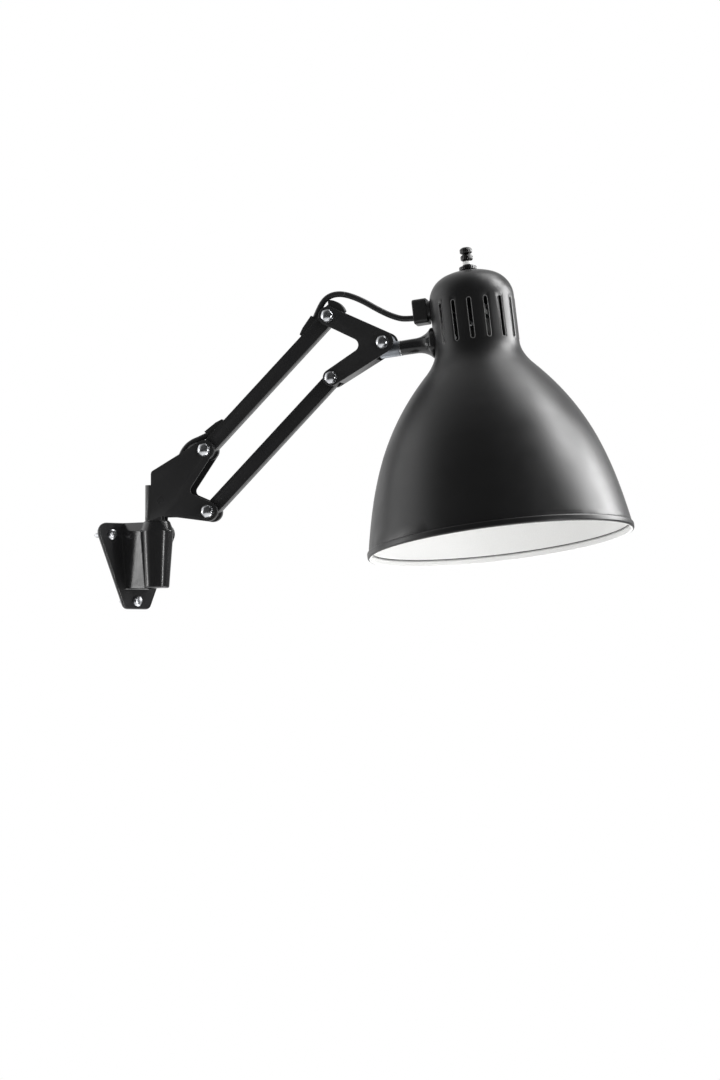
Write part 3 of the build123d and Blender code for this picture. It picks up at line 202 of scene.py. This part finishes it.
# %% [markdown]
# ## Softboxes
# Satin black shows hardly any light of its own, only what it mirrors, so the lamp is drawn by its
# highlights. Point lights would leave small hard spots. Large panels give the long soft bands that
# the photograph has: two on the right for the bell and its shoulder, a weak one on the left, one
# overhead, one below for the white inside, and two narrow strips for the lines on the cast socket.

# %% Softboxes
# name, turn to the right of the camera in degrees, height and distance in metres, size, radiance
PANELS = (
    ("panel_right", 106, 0.42, 1.5, (0.75, 0.9), 13.0),
    ("panel_shoulder", 95, 1.25, 1.4, (0.75, 0.9), 12.0),
    ("panel_left", -108, 0.1, 1.6, (1.6, 2.2), 0.7),
    ("panel_top", 113, 1.5, 0.8, (0.9, 0.9), 4.0),
    ("panel_low", 100, -1.0, 0.5, (1.4, 0.8), 3.0),
    ("strip_front", 50, -0.2, 1.8, (0.12, 0.7), 24.0),
    ("strip_left", -94, -0.2, 1.6, (0.1, 0.8), 11.0),
)
TARGET = Vector((0.16, -0.2, 0.1))  # the middle of the lamp


def softbox(name, turn, height, away, size, radiance):
    """A rectangular panel that faces the middle of the lamp."""
    a = math.radians(turn)
    place = TARGET + (SIDE * math.sin(a) - AHEAD * math.cos(a)) * away + Vector((0, 0, height))
    light = bpy.data.lights.new(name, "AREA")
    light.shape = "RECTANGLE"
    light.size, light.size_y = size
    light.energy = radiance * math.pi * size[0] * size[1]
    panel = bpy.data.objects.new(name, light)
    panel.location = place
    panel.rotation_euler = (TARGET - place).to_track_quat("-Z", "Z").to_euler()
    SCENE.collection.objects.link(panel)
    return light.energy


for panel_row in PANELS:
    print(panel_row[0], round(softbox(*panel_row), 2), "W")

# %% [markdown]
# ## Building blocks of the finishes
# Every finish starts from one shader with its fixed numbers set on the shader itself. Pictures of
# paint could be laid over it, but they repeat and blur. Noise over the piece's own coordinates never
# repeats and follows the piece when it moves.

# %% Shader and noise
FIELD = (0.3, 0.7)  # the part of a noise's range where nearly all of it lies


def material(name, color, rough, metal=0.0):
    """A principled material with its fixed numbers on the shader itself."""
    mat = bpy.data.materials.new(name)
    mat.use_nodes = True
    shader = mat.node_tree.nodes["Principled BSDF"]
    shader.inputs["Base Color"].default_value = (*color, 1)
    shader.inputs["Roughness"].default_value = rough
    shader.inputs["Metallic"].default_value = metal
    return mat


def noise(mat, scale, detail=3.0, stretch=(1, 1, 1)):
    """Noise over the object's own coordinates; scale is in grains per metre."""
    tree = mat.node_tree
    where = tree.nodes.new("ShaderNodeTexCoord")
    fit = tree.nodes.new("ShaderNodeMapping")
    fit.inputs["Scale"].default_value = stretch
    field = tree.nodes.new("ShaderNodeTexNoise")
    field.inputs["Scale"].default_value = scale
    field.inputs["Detail"].default_value = detail
    tree.links.new(where.outputs["Object"], fit.inputs["Vector"])
    tree.links.new(fit.outputs["Vector"], field.inputs["Vector"])
    return field.outputs["Fac"]


print("noise range used:", FIELD)

# %% [markdown]
# The noise reaches the shader in three ways. It moves the roughness, so that a highlight is not the
# same all over. It tilts the surface a little, which is the grain that a finger would feel. And it
# shifts the colour, but only slightly, because real paint is even.

# %% Roughness, bump and tint
def roughen(mat, value, low, high):
    """Roughness between two numbers along a field."""
    tree = mat.node_tree
    node = tree.nodes.new("ShaderNodeMapRange")
    for key, number in zip(("From Min", "From Max", "To Min", "To Max"), (*FIELD, low, high)):
        node.inputs[key].default_value = number
    tree.links.new(value, node.inputs["Value"])
    tree.links.new(node.outputs["Result"], tree.nodes["Principled BSDF"].inputs["Roughness"])


def bump(mat, value, depth):
    """Bump from a field; depth in metres."""
    tree = mat.node_tree
    node = tree.nodes.new("ShaderNodeBump")
    node.inputs["Distance"].default_value = depth
    node.inputs["Strength"].default_value = 1.0
    tree.links.new(value, node.inputs["Height"])
    tree.links.new(node.outputs["Normal"], tree.nodes["Principled BSDF"].inputs["Normal"])


def shades(color, low, high):
    """A colour made darker and lighter."""
    return tuple(c * low for c in color), tuple(c * high for c in color)


def tint(mat, value, dark, light):
    """Colour between two values along a field."""
    tree = mat.node_tree
    ramp = tree.nodes.new("ShaderNodeValToRGB")
    for element, place, color in zip(ramp.color_ramp.elements, FIELD, (dark, light)):
        element.position = place
        element.color = (*color, 1)
    tree.links.new(value, ramp.inputs["Fac"])
    tree.links.new(ramp.outputs["Color"], tree.nodes["Principled BSDF"].inputs["Base Color"])


GREY = (0.5, 0.5, 0.5)
print("shades of a grey:", shades(GREY, low=0.9, high=1.12))

# %% [markdown]
# ## Black paints
# The lamp is painted black, but no two parts are the same black. The spun shade is the most matt,
# the bent sheet and the tubes are smoother, and the cast bracket is the glossiest, with a coarser
# skin under the paint. The grey on the vents' cut edges is a painted highlight, for the light that
# those edges catch. One recipe with five sets of numbers keeps them related.

# %% Black paints
def paint(name, color, rough, peel, peel_scale=900):
    """Sprayed satin paint: orange peel in the bump, faint patches in roughness and colour."""
    mat = material(name, color, rough)
    roughen(mat, noise(mat, scale=40), low=rough - 0.03, high=rough + 0.04)
    tint(mat, noise(mat, scale=25), *shades(color, low=0.9, high=1.12))
    bump(mat, noise(mat, peel_scale, detail=2), depth=peel)
    return mat


SHADE_PAINT = paint("shade_black", (0.0062, 0.0062, 0.0066), rough=0.37, peel=0.000006)
SHEET_PAINT = paint("sheet_black", (0.0165, 0.0165, 0.017), rough=0.3, peel=0.000005)
TUBE_PAINT = paint("tube_black", (0.0145, 0.0145, 0.015), rough=0.28, peel=0.000005)
CAST_PAINT = paint("cast_black", (0.0125, 0.0125, 0.013), rough=0.2, peel=0.000008, peel_scale=600)
# the grey of the cut edges is a painted highlight, for the light that the vents' edges catch
CUT_EDGE_HIGHLIGHT = paint("cut_edge_painted_highlight", (0.13, 0.13, 0.13), rough=0.35, peel=0.000004)
print("paints:", [mat.name for mat in (SHADE_PAINT, SHEET_PAINT, TUBE_PAINT, CAST_PAINT, CUT_EDGE_HIGHLIGHT)])

# %% [markdown]
# ## White paint
# The reflector is white with a fine speckle, and the rim's lip is the same white but smoother. The
# white stays well below 1, so that the light inside the shade keeps its shape and doesn't clip.

# %% White paint
def white_paint(name, white, rough, peel):
    """White paint: a fine speckle in the colour, and orange peel."""
    mat = material(name, (white, white, white), rough)
    speck = noise(mat, scale=1300, detail=2)
    tint(mat, speck, (white * 0.95, white * 0.95, white * 0.94), (white, white, white * 0.99))
    roughen(mat, noise(mat, scale=60), low=rough - 0.03, high=rough + 0.05)
    bump(mat, speck, depth=peel)
    return mat


WHITE_PAINT = white_paint("white_inside", white=0.77, rough=0.5, peel=0.00002)
RIM_PAINT = white_paint("rim_white", white=0.78, rough=0.3, peel=0.000006)
print("white paints:", WHITE_PAINT.name, RIM_PAINT.name)

# %% [markdown]
# ## Metals
# Bolts, nuts and screws are zinc plated, the knob is dark nickel and the tilting lug is cast zinc.
# A plain metal shader would look like a mirror. Fine scratches, drawn out along one direction, and
# cloudy plating break the reflections up.

# %% Metals
def metal(name, color, rough, scratch=0.000004, stretch=(1, 1, 8)):
    """Plated metal with fine scratches and cloudy plating."""
    mat = material(name, color, rough, metal=1.0)
    roughen(mat, noise(mat, scale=350), low=rough - 0.04, high=rough + 0.08)
    tint(mat, noise(mat, scale=180), *shades(color, low=0.86, high=1))
    bump(mat, noise(mat, scale=1500, detail=4, stretch=stretch), depth=scratch)
    return mat


ZINC = metal("zinc_plate", (0.6, 0.61, 0.63), rough=0.26)
BOLT = metal("bolt_plate", (0.62, 0.63, 0.65), rough=0.2, scratch=0.000002)
# the strap's dark grey is a painted shade, for the dark inside the cap
STRAP_PAINTED_SHADE = metal("strap_painted_shade", (0.1, 0.1, 0.105), rough=0.35)
NICKEL = metal("dark_nickel", (0.085, 0.085, 0.085), rough=0.25, scratch=0.000001)
CAST_ZINC = metal("cast_zinc", (0.32, 0.34, 0.37), rough=0.4, scratch=0.00001, stretch=(1, 1, 1))
ALUMINIUM = metal("aluminium", (0.76, 0.76, 0.75), rough=0.3)
print("metals:", [mat.name for mat in (ZINC, BOLT, STRAP_PAINTED_SHADE, NICKEL, CAST_ZINC, ALUMINIUM)])

# %% [markdown]
# ## Plastic, rubber and glass
# Bushes, cord guides, gland, holder and the cord's sheath are all moulded, and so, for the eye, is
# the bulb's opal glass. They share one recipe too: a fine grain, and patches a little glossier than
# others, as handled plastic gets.

# %% Plastic, rubber and glass
def moulded(name, color, rough, grain, depth):
    """Moulded plastic or rubber: a fine grain, and patches a little glossier than others."""
    mat = material(name, color, rough)
    bump(mat, noise(mat, grain, detail=2), depth)
    roughen(mat, noise(mat, scale=90), low=rough - 0.05, high=rough + 0.07)
    tint(mat, noise(mat, scale=60), *shades(color, low=0.9, high=1.1))
    return mat


# name, colour, roughness, grains per metre, depth of the grain in metres
NYLON = moulded("nylon_black", (0.02, 0.02, 0.021), 0.4, 800, 0.000006)
PLASTIC = moulded("black_plastic", (0.013, 0.013, 0.013), 0.36, 1400, 0.000008)
SHEATH = moulded("cord_sheath", (0.015, 0.015, 0.0155), 0.33, 700, 0.00001)
HOLDER = moulded("holder_black", (0.016, 0.016, 0.016), 0.3, 500, 0.00001)
# the leads' near-black is a painted shade, for the dark inside the cap
LEADS_PAINTED_SHADE = moulded("lead_sleeve_painted_shade", (0.03, 0.03, 0.03), 0.4, 900, 0.00001)
# the stem's pale grey is a painted reflection of its bright metal
STEM_PAINTED_REFLECTION = moulded("stem_painted_reflection", (0.72, 0.72, 0.71), 0.3, 900, 0.000002)
OPAL = moulded("opal_glass", (0.88, 0.88, 0.85), 0.22, 120, 0.000005)
print("materials:", len(bpy.data.materials))

# %% [markdown]
# ## Finishes on the CAD pieces
# Most small pieces have the right shape already, so they keep their mesh and only take a finish. The
# table below is read once, and whatever it leaves out is printed, so no piece stays bare.

# %% Finishes on the CAD pieces
FINISH = {
    CAST_PAINT: ["wall_bracket", "post_block", "neck"],
    TUBE_PAINT: ["swivel_post", "upper_bar", "lower_bar"],
    SHEET_PAINT: ["rear_knuckle", "front_knuckle"],
    SHADE_PAINT: ["shade", "rim_ring"],
    WHITE_PAINT: ["reflector"],
    NYLON: ["socket_bush", "thrust_washer", "rear_spacers", "upper_bar_bushes", "lower_bar_bushes",
            "front_spacers", "head_washers"],
    PLASTIC: ["rear_cord_guide", "front_cord_guide", "cord_gland", "gland_nut", "switch_body"],
    BOLT: ["rear_pivot_bolts", "rear_pivot_nuts", "front_pivot_bolts", "front_pivot_nuts",
           "head_pivot_bolt", "head_pivot_nut"],
    ZINC: ["wall_screws", "neck_washer", "neck_stud", "stud_nut", "switch_lock_nut", "holder_screws",
           "swivel_set_screw"],
    STRAP_PAINTED_SHADE: ["holder_strap"],
    CAST_ZINC: ["head_lug"],
    NICKEL: ["switch_nut", "switch_knob"],
    SHEATH: ["cord_front", "cord_rear", "cord_in_bar", "cord_in_post", "cord_to_wall"],
    HOLDER: ["lamp_holder"],
    ALUMINIUM: ["bulb_base"],
    OPAL: ["bulb_glass"],
    LEADS_PAINTED_SHADE: ["inner_leads"],
}
for mat, names in FINISH.items():
    for name in names:
        slots = NODES[name].data.materials
        slots.clear()
        slots.append(mat)
print("nodes without a finish:", sorted(set(NODES) - {n for names in FINISH.values() for n in names}))

# %% [markdown]
# ## Copies of CAD pieces
# A CAD mesh can't be changed, but a copy of it can. Its vertices are joined first, because a CAD mesh
# keeps a separate set for each face, and no modifier can work across such a cut. The copy then rides
# on the same body and stands for the node.

# %% Copies of CAD pieces
WELD = 2e-6  # metres between vertices that are joined


def copy_of(node, name, flat=None):
    """The node's mesh with its vertices joined, and its flat faces too where flat is an angle."""
    bm = bmesh.new()
    bm.from_mesh(NODES[node].data)
    bmesh.ops.remove_doubles(bm, verts=bm.verts, dist=WELD)
    if flat:
        bmesh.ops.dissolve_limit(bm, angle_limit=math.radians(flat), verts=bm.verts, edges=bm.edges)
    mesh = bpy.data.meshes.new(name)
    bm.to_mesh(mesh)
    bm.free()
    return mesh


def piece(name, mesh, mats, body, *nodes):
    """An object that rides on a body and stands for CAD nodes."""
    obj = bpy.data.objects.new(name, mesh)
    SCENE.collection.objects.link(obj)
    for mat in mats:
        mesh.materials.append(mat)
    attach(obj, body)
    if nodes:
        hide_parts(*nodes)
    return obj


def applied(obj):
    """Bakes an object's modifiers into its mesh."""
    bpy.context.view_layer.update()
    done = bpy.data.meshes.new_from_object(obj.evaluated_get(bpy.context.evaluated_depsgraph_get()))
    obj.modifiers.clear()
    old, obj.data = obj.data, done
    bpy.data.meshes.remove(old)


print("nodes that can be copied:", len(BODY_OF))

# %% [markdown]
# ## Rounded edges
# Bent sheet, square tube, bolt heads and plastic all have a small radius on every edge, and that
# radius catches a thin line of light. Bump can't draw it, because it doesn't change the outline. A
# bevel modifier does, with a radius that suits each piece.

# %% Rounded edges
SHARP = math.radians(50)  # edges sharper than this stay crisp in the shading


def bevelled(obj, radius_mm, angle):
    """Rounds the edges that are sharper than an angle."""
    bevel = obj.modifiers.new("edge", "BEVEL")
    bevel.width = radius_mm * MM
    bevel.segments = 2
    bevel.limit_method = "ANGLE"
    bevel.angle_limit = math.radians(angle)
    bevel.harden_normals = True
    return bevel


def rounded(node, radius_mm, mat):
    """A node with every edge rounded."""
    name = node + "_round"
    obj = piece(name, copy_of(node, name, flat=1.2), [mat], BODY_OF[node], node)
    bevelled(obj, radius_mm, angle=38).miter_outer = "MITER_ARC"
    obj.data.shade_smooth()
    applied(obj)
    obj.data.set_sharp_from_angle(angle=SHARP)
    return obj


EDGES = (  # nodes, radius of the edges in mm, finish
    (("rear_knuckle", "front_knuckle"), 0.3, SHEET_PAINT),
    (("upper_bar", "lower_bar"), 0.55, TUBE_PAINT),
    (("rear_cord_guide", "front_cord_guide"), 0.4, PLASTIC),
    (("rear_pivot_bolts", "front_pivot_bolts", "head_pivot_bolt"), 0.25, BOLT),
    (("rear_pivot_nuts", "front_pivot_nuts", "head_pivot_nut"), 0.25, BOLT),
    (("neck",), 0.3, CAST_PAINT),
)
for nodes, radius, mat in EDGES:
    for node in nodes:
        done = rounded(node, radius, mat)
        print(done.name, len(done.data.polygons), "faces")

# %% [markdown]
# ## Castings
# The bracket, the tilting lug and the moulded gland come out of a mould, so inner corners are filled
# and outer ones are soft. A bevel fails where curved faces meet at a slant. Remeshing the piece into
# small even faces and smoothing them rounds everything at once.

# %% Castings
def cast(node, voxel_mm, passes, mat):
    """The node remeshed into small even faces and smoothed, which rounds every edge."""
    name = node + "_cast"
    obj = piece(name, copy_of(node, name), [mat], BODY_OF[node], node)
    remesh = obj.modifiers.new("even", "REMESH")
    remesh.mode = "VOXEL"
    remesh.voxel_size = voxel_mm * MM
    smooth = obj.modifiers.new("soft", "SMOOTH")
    smooth.factor = 0.5
    smooth.iterations = passes
    applied(obj)
    obj.data.shade_smooth()
    return obj


CASTINGS = (  # node, size of the small faces in mm, passes of smoothing, finish
    ("wall_bracket", 0.4, 2, CAST_PAINT),
    ("head_lug", 0.4, 4, CAST_ZINC),
    ("cord_gland", 0.35, 6, PLASTIC),
)
for node, voxel, passes, mat in CASTINGS:
    done = cast(node, voxel, passes, mat)
    print(done.name, len(done.data.polygons), "faces")

# %% [markdown]
# ## Shade and rim
# The shade is black outside. Inside its cap it is black as well, a painted shade for the dark seen
# through the vents. Inside the bell it is white, and so is the underside of the rolled rim. Splitting
# a mesh in two would open a seam, so one mesh carries several finishes instead, and each face takes
# its own by where it lies and which way it looks from the axis. The vents' cut edges get a grey
# painted highlight, and a small round.

# %% Faces sorted by place
def outwards(place, way):
    """How far a face looks away from the shade's axis."""
    return way.dot(Vector((place.x, place.y, 0)).normalized())


def sorted_faces(obj, which):
    """Gives each face the finish that which() names, from its place in mm and its normal."""
    back = SHADE.inverted()
    turn = back.to_3x3()
    for face in obj.data.polygons:
        face.material_index = which(back @ face.center / MM, turn @ face.normal)
    obj.data.set_sharp_from_angle(angle=SHARP)


outer_face = Vector((1, 0, 0))
print("a face that looks straight outwards scores", outwards(outer_face, outer_face))

# %% Shade and rim
# inside faces above WHITE_BELOW stay black: a painted shade for the dark inside the cap
WHITE_BELOW = -60  # mm on the shade's axis
VENTS_Z = (-17.0, 26.0)  # mm on the same axis, from under the vents to above them
LOOKS_IN, LOOKS_ALONG = -0.2, 0.85  # scores under which a face is inside, or along the sheet's edge
RIM_OUT, RIM_UP = 0.12, 0.9  # scores over which the rim is black


def shade_finish(place, way):
    """0 black paint, and inside the cap a painted shade; 1 white paint; 2 grey, a painted highlight on
    a vent's cut edge.
    """
    if place.z < WHITE_BELOW:
        return int(outwards(place, way) < LOOKS_IN)
    return 2 if abs(outwards(place, way)) < LOOKS_ALONG and VENTS_Z[0] < place.z < VENTS_Z[1] else 0


def rim_finish(place, way):
    """0 black paint outside, 1 white paint inside and under the lip."""
    return int(outwards(place, way) < RIM_OUT and way.z < RIM_UP)


shade = piece("shade_two_sided", copy_of("shade", "shade_two_sided"),
              [SHADE_PAINT, WHITE_PAINT, CUT_EDGE_HIGHLIGHT], BODY_OF["shade"], "shade")
shade.data.shade_smooth()
bevelled(shade, radius_mm=0.3, angle=50)
applied(shade)
sorted_faces(shade, shade_finish)
rim = piece("rim_two_sided", copy_of("rim_ring", "rim_two_sided"), [SHADE_PAINT, RIM_PAINT],
            BODY_OF["rim_ring"], "rim_ring")
rim.data.shade_smooth()
sorted_faces(rim, rim_finish)
print("shade faces:", len(shade.data.polygons), "rim faces:", len(rim.data.polygons))

# %% [markdown]
# ## Edges of the vents
# Each vent is punched through the sheet, and the punch leaves a thin raised lip round the slot that
# catches the light. The lip could be modelled by rounding the shade's own mesh, but its triangles are
# long and thin there. A fine tube laid round each slot gives a clean line instead.

# %% Outline of a vent
# degrees round the axis, and mm: length and width, the middle's height, the radius it lies on
VENT = {"count": 12, "first": -39.0, "pitch": 22.5, "long": 37.6, "wide": 4.0, "z": 4.2, "on": 38.3}
SIDE_STEPS = 8  # steps along each straight side


def slot_outline(long, wide, steps=9):
    """Points round a slot, as (across, up) in mm."""
    r, half = wide / 2, (long - wide) / 2
    turns = [math.pi * k / (steps - 1) for k in range(steps)]
    top = [(r * math.cos(a), half + r * math.sin(a)) for a in turns]
    side = [(-r, half * (1 - 2 * k / SIDE_STEPS)) for k in range(1, SIDE_STEPS)]
    return top + side + [(-x, -y) for x, y in top] + [(-x, -y) for x, y in side]


print("points round a vent:", len(slot_outline(VENT["long"], VENT["wide"])))

# %% Tube along a closed line
TUBE_SIDES = 8


def closed_tube(bm, line, radius):
    """A tube along a closed line round the shade's axis or on its side, in the shade's frame, mm."""
    rings = []
    sides = TUBE_SIDES
    turns = [2 * math.pi * j / sides for j in range(sides)]
    for i, point in enumerate(line):
        ahead = (line[(i + 1) % len(line)] - line[i - 1]).normalized()
        out = Vector((point.x, point.y, 0)).normalized()
        side = ahead.cross(out)
        around = [(out * math.cos(t) + side * math.sin(t)) * radius for t in turns]
        rings.append([bm.verts.new(SHADE @ ((point + step) * MM)) for step in around])
    for one, two in zip(rings, rings[1:] + rings[:1]):
        for j in range(sides):
            bm.faces.new((one[j], one[(j + 1) % sides], two[(j + 1) % sides], two[j]))


def head_piece(bm, name, mat):
    """Makes a smooth piece from a bmesh, which rides with the head."""
    bmesh.ops.recalc_face_normals(bm, faces=bm.faces)
    mesh = bpy.data.meshes.new(name)
    bm.to_mesh(mesh)
    bm.free()
    mesh.shade_smooth()
    obj = piece(name, mesh, [mat], "head")
    print(name, len(mesh.polygons), "faces")


print("sides of a tube:", TUBE_SIDES)

# %% Lips round the vents
LIP_MM = 0.27


def round_axis(radius, angle, z):
    """A point at an angle round the shade's axis."""
    return Vector((radius * math.cos(angle), radius * math.sin(angle), z))


bm = bmesh.new()
for k in range(VENT["count"]):
    turn = math.radians(VENT["first"] + k * VENT["pitch"] - 90)
    closed_tube(bm, [round_axis(VENT["on"], turn + across / VENT["on"], VENT["z"] + up)
                     for across, up in slot_outline(VENT["long"], VENT["wide"])], LIP_MM)
# the lips take the grey of the cut edge, a painted highlight
head_piece(bm, "vent_lips", CUT_EDGE_HIGHLIGHT)

# %% [markdown]
# ## Painted shade in the gap under the reflector
# The white reflector ends a little above the rolled rim, and the shade in that narrow gap shows as a
# thin dark line. A line in the material would need the mesh to be cut exactly there. A black ring in
# the gap paints that shade from every side.

# %% Gap ring
# a black ring that stands for the shade in the gap: painted shade
GAP_R, GAP_Z, GAP_MM, GAP_STEPS = 117.0, -190.7, 0.42, 240
bm = bmesh.new()
circle = [round_axis(GAP_R, 2 * math.pi * k / GAP_STEPS, GAP_Z) for k in range(GAP_STEPS)]
closed_tube(bm, circle, GAP_MM)
head_piece(bm, "reflector_gap_painted_shade", SHADE_PAINT)

# %% [markdown]
# ## Switch on the crown
# The knob is two knurled beads on a bright stem, above a flat ring nut with a knurled edge. The
# stem's pale grey is a painted reflection of its bright metal. Knurling as bump would leave the
# outline round. Here a band is a turned profile whose radius rises and falls round the axis, so that
# its teeth show against the light as well.

# %% Knurled turning
SIDES_PER_TOOTH = 4


def knurled(name, rows, teeth, depth_mm, mats, node, ring=False):
    """Turned rows of (z, radius, knurl, finish) in mm; knurl is the share of the tooth depth."""
    bm = bmesh.new()
    sides = teeth * SIDES_PER_TOOTH
    rings = []
    for z, radius, knurl, _ in rows:
        loop = []
        for k in range(sides):
            a = 2 * math.pi * k / sides
            r = radius - depth_mm * knurl * (0.5 + 0.5 * math.cos(teeth * a))
            loop.append(bm.verts.new(SHADE @ (round_axis(r, a, z) * MM)))
        rings.append(loop)
    pairs = list(zip(rings, rings[1:], rows))
    if ring:
        pairs.append((rings[-1], rings[0], rows[-1]))
    else:
        bm.faces.new(list(reversed(rings[0])))
        bm.faces.new(rings[-1])
    for low, high, row in pairs:
        for k in range(sides):
            n = (k + 1) % sides
            bm.faces.new((low[k], low[n], high[n], high[k])).material_index = row[3]
    bmesh.ops.recalc_face_normals(bm, faces=bm.faces)
    mesh = bpy.data.meshes.new(name)
    bm.to_mesh(mesh)
    bm.free()
    mesh.shade_smooth()
    mesh.set_sharp_from_angle(angle=math.radians(40))
    print(name, len(mesh.polygons), "faces")
    return piece(name, mesh, mats, BODY_OF[node], node)


print("sides per tooth:", SIDES_PER_TOOTH)

# %% Knob and ring nut
def bead(low):
    """Rows of one knurled bead of the knob."""
    return [(low + up, radius, knurl, 0)
            for up, radius, knurl in ((0, 3.4, 0), (0.9, 4.9, 0.3), (1.7, 5.6, 1),
                                      (4.4, 5.6, 1), (5.3, 4.9, 0.3), (6.2, 3.4, 0))]


LOW_BEAD, HIGH_BEAD = 62.5, 68.9  # mm on the shade's axis
stem = [(59.1, 4.0, 0, 1), (59.3, 4.2, 0, 1), (61.9, 4.2, 0, 1), (62.3, 3.8, 0, 1)]
knurled("knob_beads", stem + bead(LOW_BEAD) + bead(HIGH_BEAD), teeth=22, depth_mm=0.45,
        mats=[NICKEL, STEM_PAINTED_REFLECTION], node="switch_knob")
nut = [(54.1, 4.65, 0, 0), (54.1, 7.4, 0, 0), (54.6, 7.95, 1, 0),
       (57.0, 7.95, 1, 0), (57.6, 7.4, 0, 0), (57.6, 4.65, 0, 0)]
knurled("switch_ring_nut", nut, teeth=30, depth_mm=0.3, mats=[NICKEL], node="switch_nut", ring=True)

# %% [markdown]
# ## Cord
# The cord leaves the rear hood, hangs in a loop behind the upper rear pivot and goes down the hollow
# post. At the front it comes out over the drum and sags across to the gland. A rope simulation would
# have to be tuned for each stretch. A smooth NURBS line through a few points of the route bends as
# evenly as a real cord does, and the points can be read off the photograph.

# %% Routes
# along the arm, up and aside, mm
FRONT_ROUTE = [(147.6, 222.8, 0), (151.0, 231.1, 0), (156.3, 240.3, 0), (164.3, 244.9, 0),
               (175.5, 244.9, 0), (191.0, 239.0, 0), (207.0, 229.6, 0), (220.5, 223.4, 0),
               (231.7, 220.9, 2.0), (247.3, 223.0, 2.0)]
REAR_ROUTE = [(48.1, 118.7, 0), (40.8, 115.3, 0), (31.5, 111.6, 0), (24.8, 104.8, 0),
              (21.2, 95.5, 0), (16.2, 87.0, 0), (0.0, 72.0, 0), (0.0, 56.0, 0)]


def smooth_line(name, route):
    """Points along the NURBS line of a route."""
    curve = bpy.data.curves.new(name, "CURVE")
    curve.dimensions = "3D"
    spline = curve.splines.new("NURBS")
    spline.points.add(len(route) - 1)
    for point, (x, z, y) in zip(spline.points, route):
        point.co = (*on_arm(x, z, y), 1)
    spline.order_u = 3
    spline.use_endpoint_u = True
    spline.resolution_u = 24
    holder = bpy.data.objects.new(name, curve)
    SCENE.collection.objects.link(holder)
    bpy.context.view_layer.update()
    line = bpy.data.meshes.new_from_object(holder.evaluated_get(bpy.context.evaluated_depsgraph_get()))
    points = [v.co.copy() for v in line.vertices]
    bpy.data.objects.remove(holder)
    return points


def length_of(points):
    """Length along a line of points, in metres."""
    return sum((b - a).length for a, b in zip(points, points[1:]))


front_line = smooth_line("front_route", FRONT_ROUTE)
rear_line = smooth_line("rear_route", REAR_ROUTE)
print("front line", round(length_of(front_line) / MM, 1), "mm")
print("rear line", round(length_of(rear_line) / MM, 1), "mm")

# %% [markdown]
# A curve can be given a round bevel, but its rings may twist where it turns in space. This tube
# carries one direction along the line and only straightens it at each point, so its rings never twist.

# %% Tube along an open line
CORD_MM, CORD_SIDES = 5.4, 20


def tube(name, points, radius, sides):
    """Mesh tube along points, with rings that never twist."""
    bm = bmesh.new()
    across = (points[1] - points[0]).normalized().orthogonal().normalized()
    rings = []
    for k, point in enumerate(points):
        ahead = points[min(k + 1, len(points) - 1)] - points[max(k - 1, 0)]
        ahead.normalize()
        across = (across - ahead * across.dot(ahead)).normalized()
        other = ahead.cross(across)
        ring = []
        for s in range(sides):
            a = 2 * math.pi * s / sides
            ring.append(bm.verts.new(point + (across * math.cos(a) + other * math.sin(a)) * radius))
        rings.append(ring)
    for one, two in zip(rings, rings[1:]):
        for s in range(sides):
            t = (s + 1) % sides
            bm.faces.new((one[s], one[t], two[t], two[s]))
    bm.faces.new(list(reversed(rings[0])))
    bm.faces.new(rings[-1])
    for face in bm.faces:
        face.smooth = len(face.verts) == 4
    mesh = bpy.data.meshes.new(name)
    bm.to_mesh(mesh)
    bm.free()
    mesh.materials.append(SHEATH)
    obj = bpy.data.objects.new(name, mesh)
    SCENE.collection.objects.link(obj)
    print(name, len(mesh.polygons), "faces")
    return obj


print("cord", CORD_MM, "mm thick, drawn with", CORD_SIDES, "sides")

# %% [markdown]
# The front stretch crosses three joints: the link, the tilt and the neck. The one line is cut into
# three equal lengths, one for each joint. The rear loop runs between the upper arm and the post. The
# lengths ride on no body; each stays where it is drawn.

# %% Cord pieces
FRONT_BODIES = (("upper_arm", "front_link"), ("front_link", "tilt_lug"), ("tilt_lug", "head"))


def stretch(name, points, bodies, node):
    """One length of cord, drawn as a tube where it lies; bodies is not used."""
    obj = tube(name, points, CORD_MM * MM / 2, CORD_SIDES)
    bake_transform(obj)
    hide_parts(node)


whole = length_of(front_line)
cuts, run = [0], 0
for k in range(1, len(front_line)):
    run += (front_line[k] - front_line[k - 1]).length
    if run >= whole * len(cuts) / len(FRONT_BODIES) and len(cuts) < len(FRONT_BODIES):
        cuts.append(k)
cuts.append(len(front_line) - 1)
for part, bodies in enumerate(FRONT_BODIES):
    points = front_line[cuts[part]:cuts[part + 1] + 1]
    stretch(f"cord_front_{part + 1}", points, bodies, "cord_front")
    print("front length", part + 1, round(length_of(points) / MM, 1), "mm")
stretch("cord_rear_loop", rear_line, ("upper_arm", "swivel"), "cord_rear")

# %% [markdown]
# ## Floor
# A pale floor far under the lamp, as a lamp on a wall has. It is a disc, because a disc has no corner
# that could show in a turned view.

# %% Floor
FLOOR_AT, FLOOR_R, FLOOR_SIDES = (0.15, -0.2, -1.1), 2.4, 96
bm = bmesh.new()
bmesh.ops.create_circle(bm, cap_ends=True, segments=FLOOR_SIDES, radius=FLOOR_R)
mesh = bpy.data.meshes.new("floor")
bm.to_mesh(mesh)
bm.free()
floor = bpy.data.objects.new("floor", mesh)
floor.location = FLOOR_AT
SCENE.collection.objects.link(floor)
floor_pale = material("floor_pale", (0.86, 0.86, 0.86), rough=0.7)
bump(floor_pale, noise(floor_pale, scale=30), depth=0.0004)
mesh.materials.append(floor_pale)
print("floor", FLOOR_R, "m round,", -FLOOR_AT[2], "m under the plate's middle")
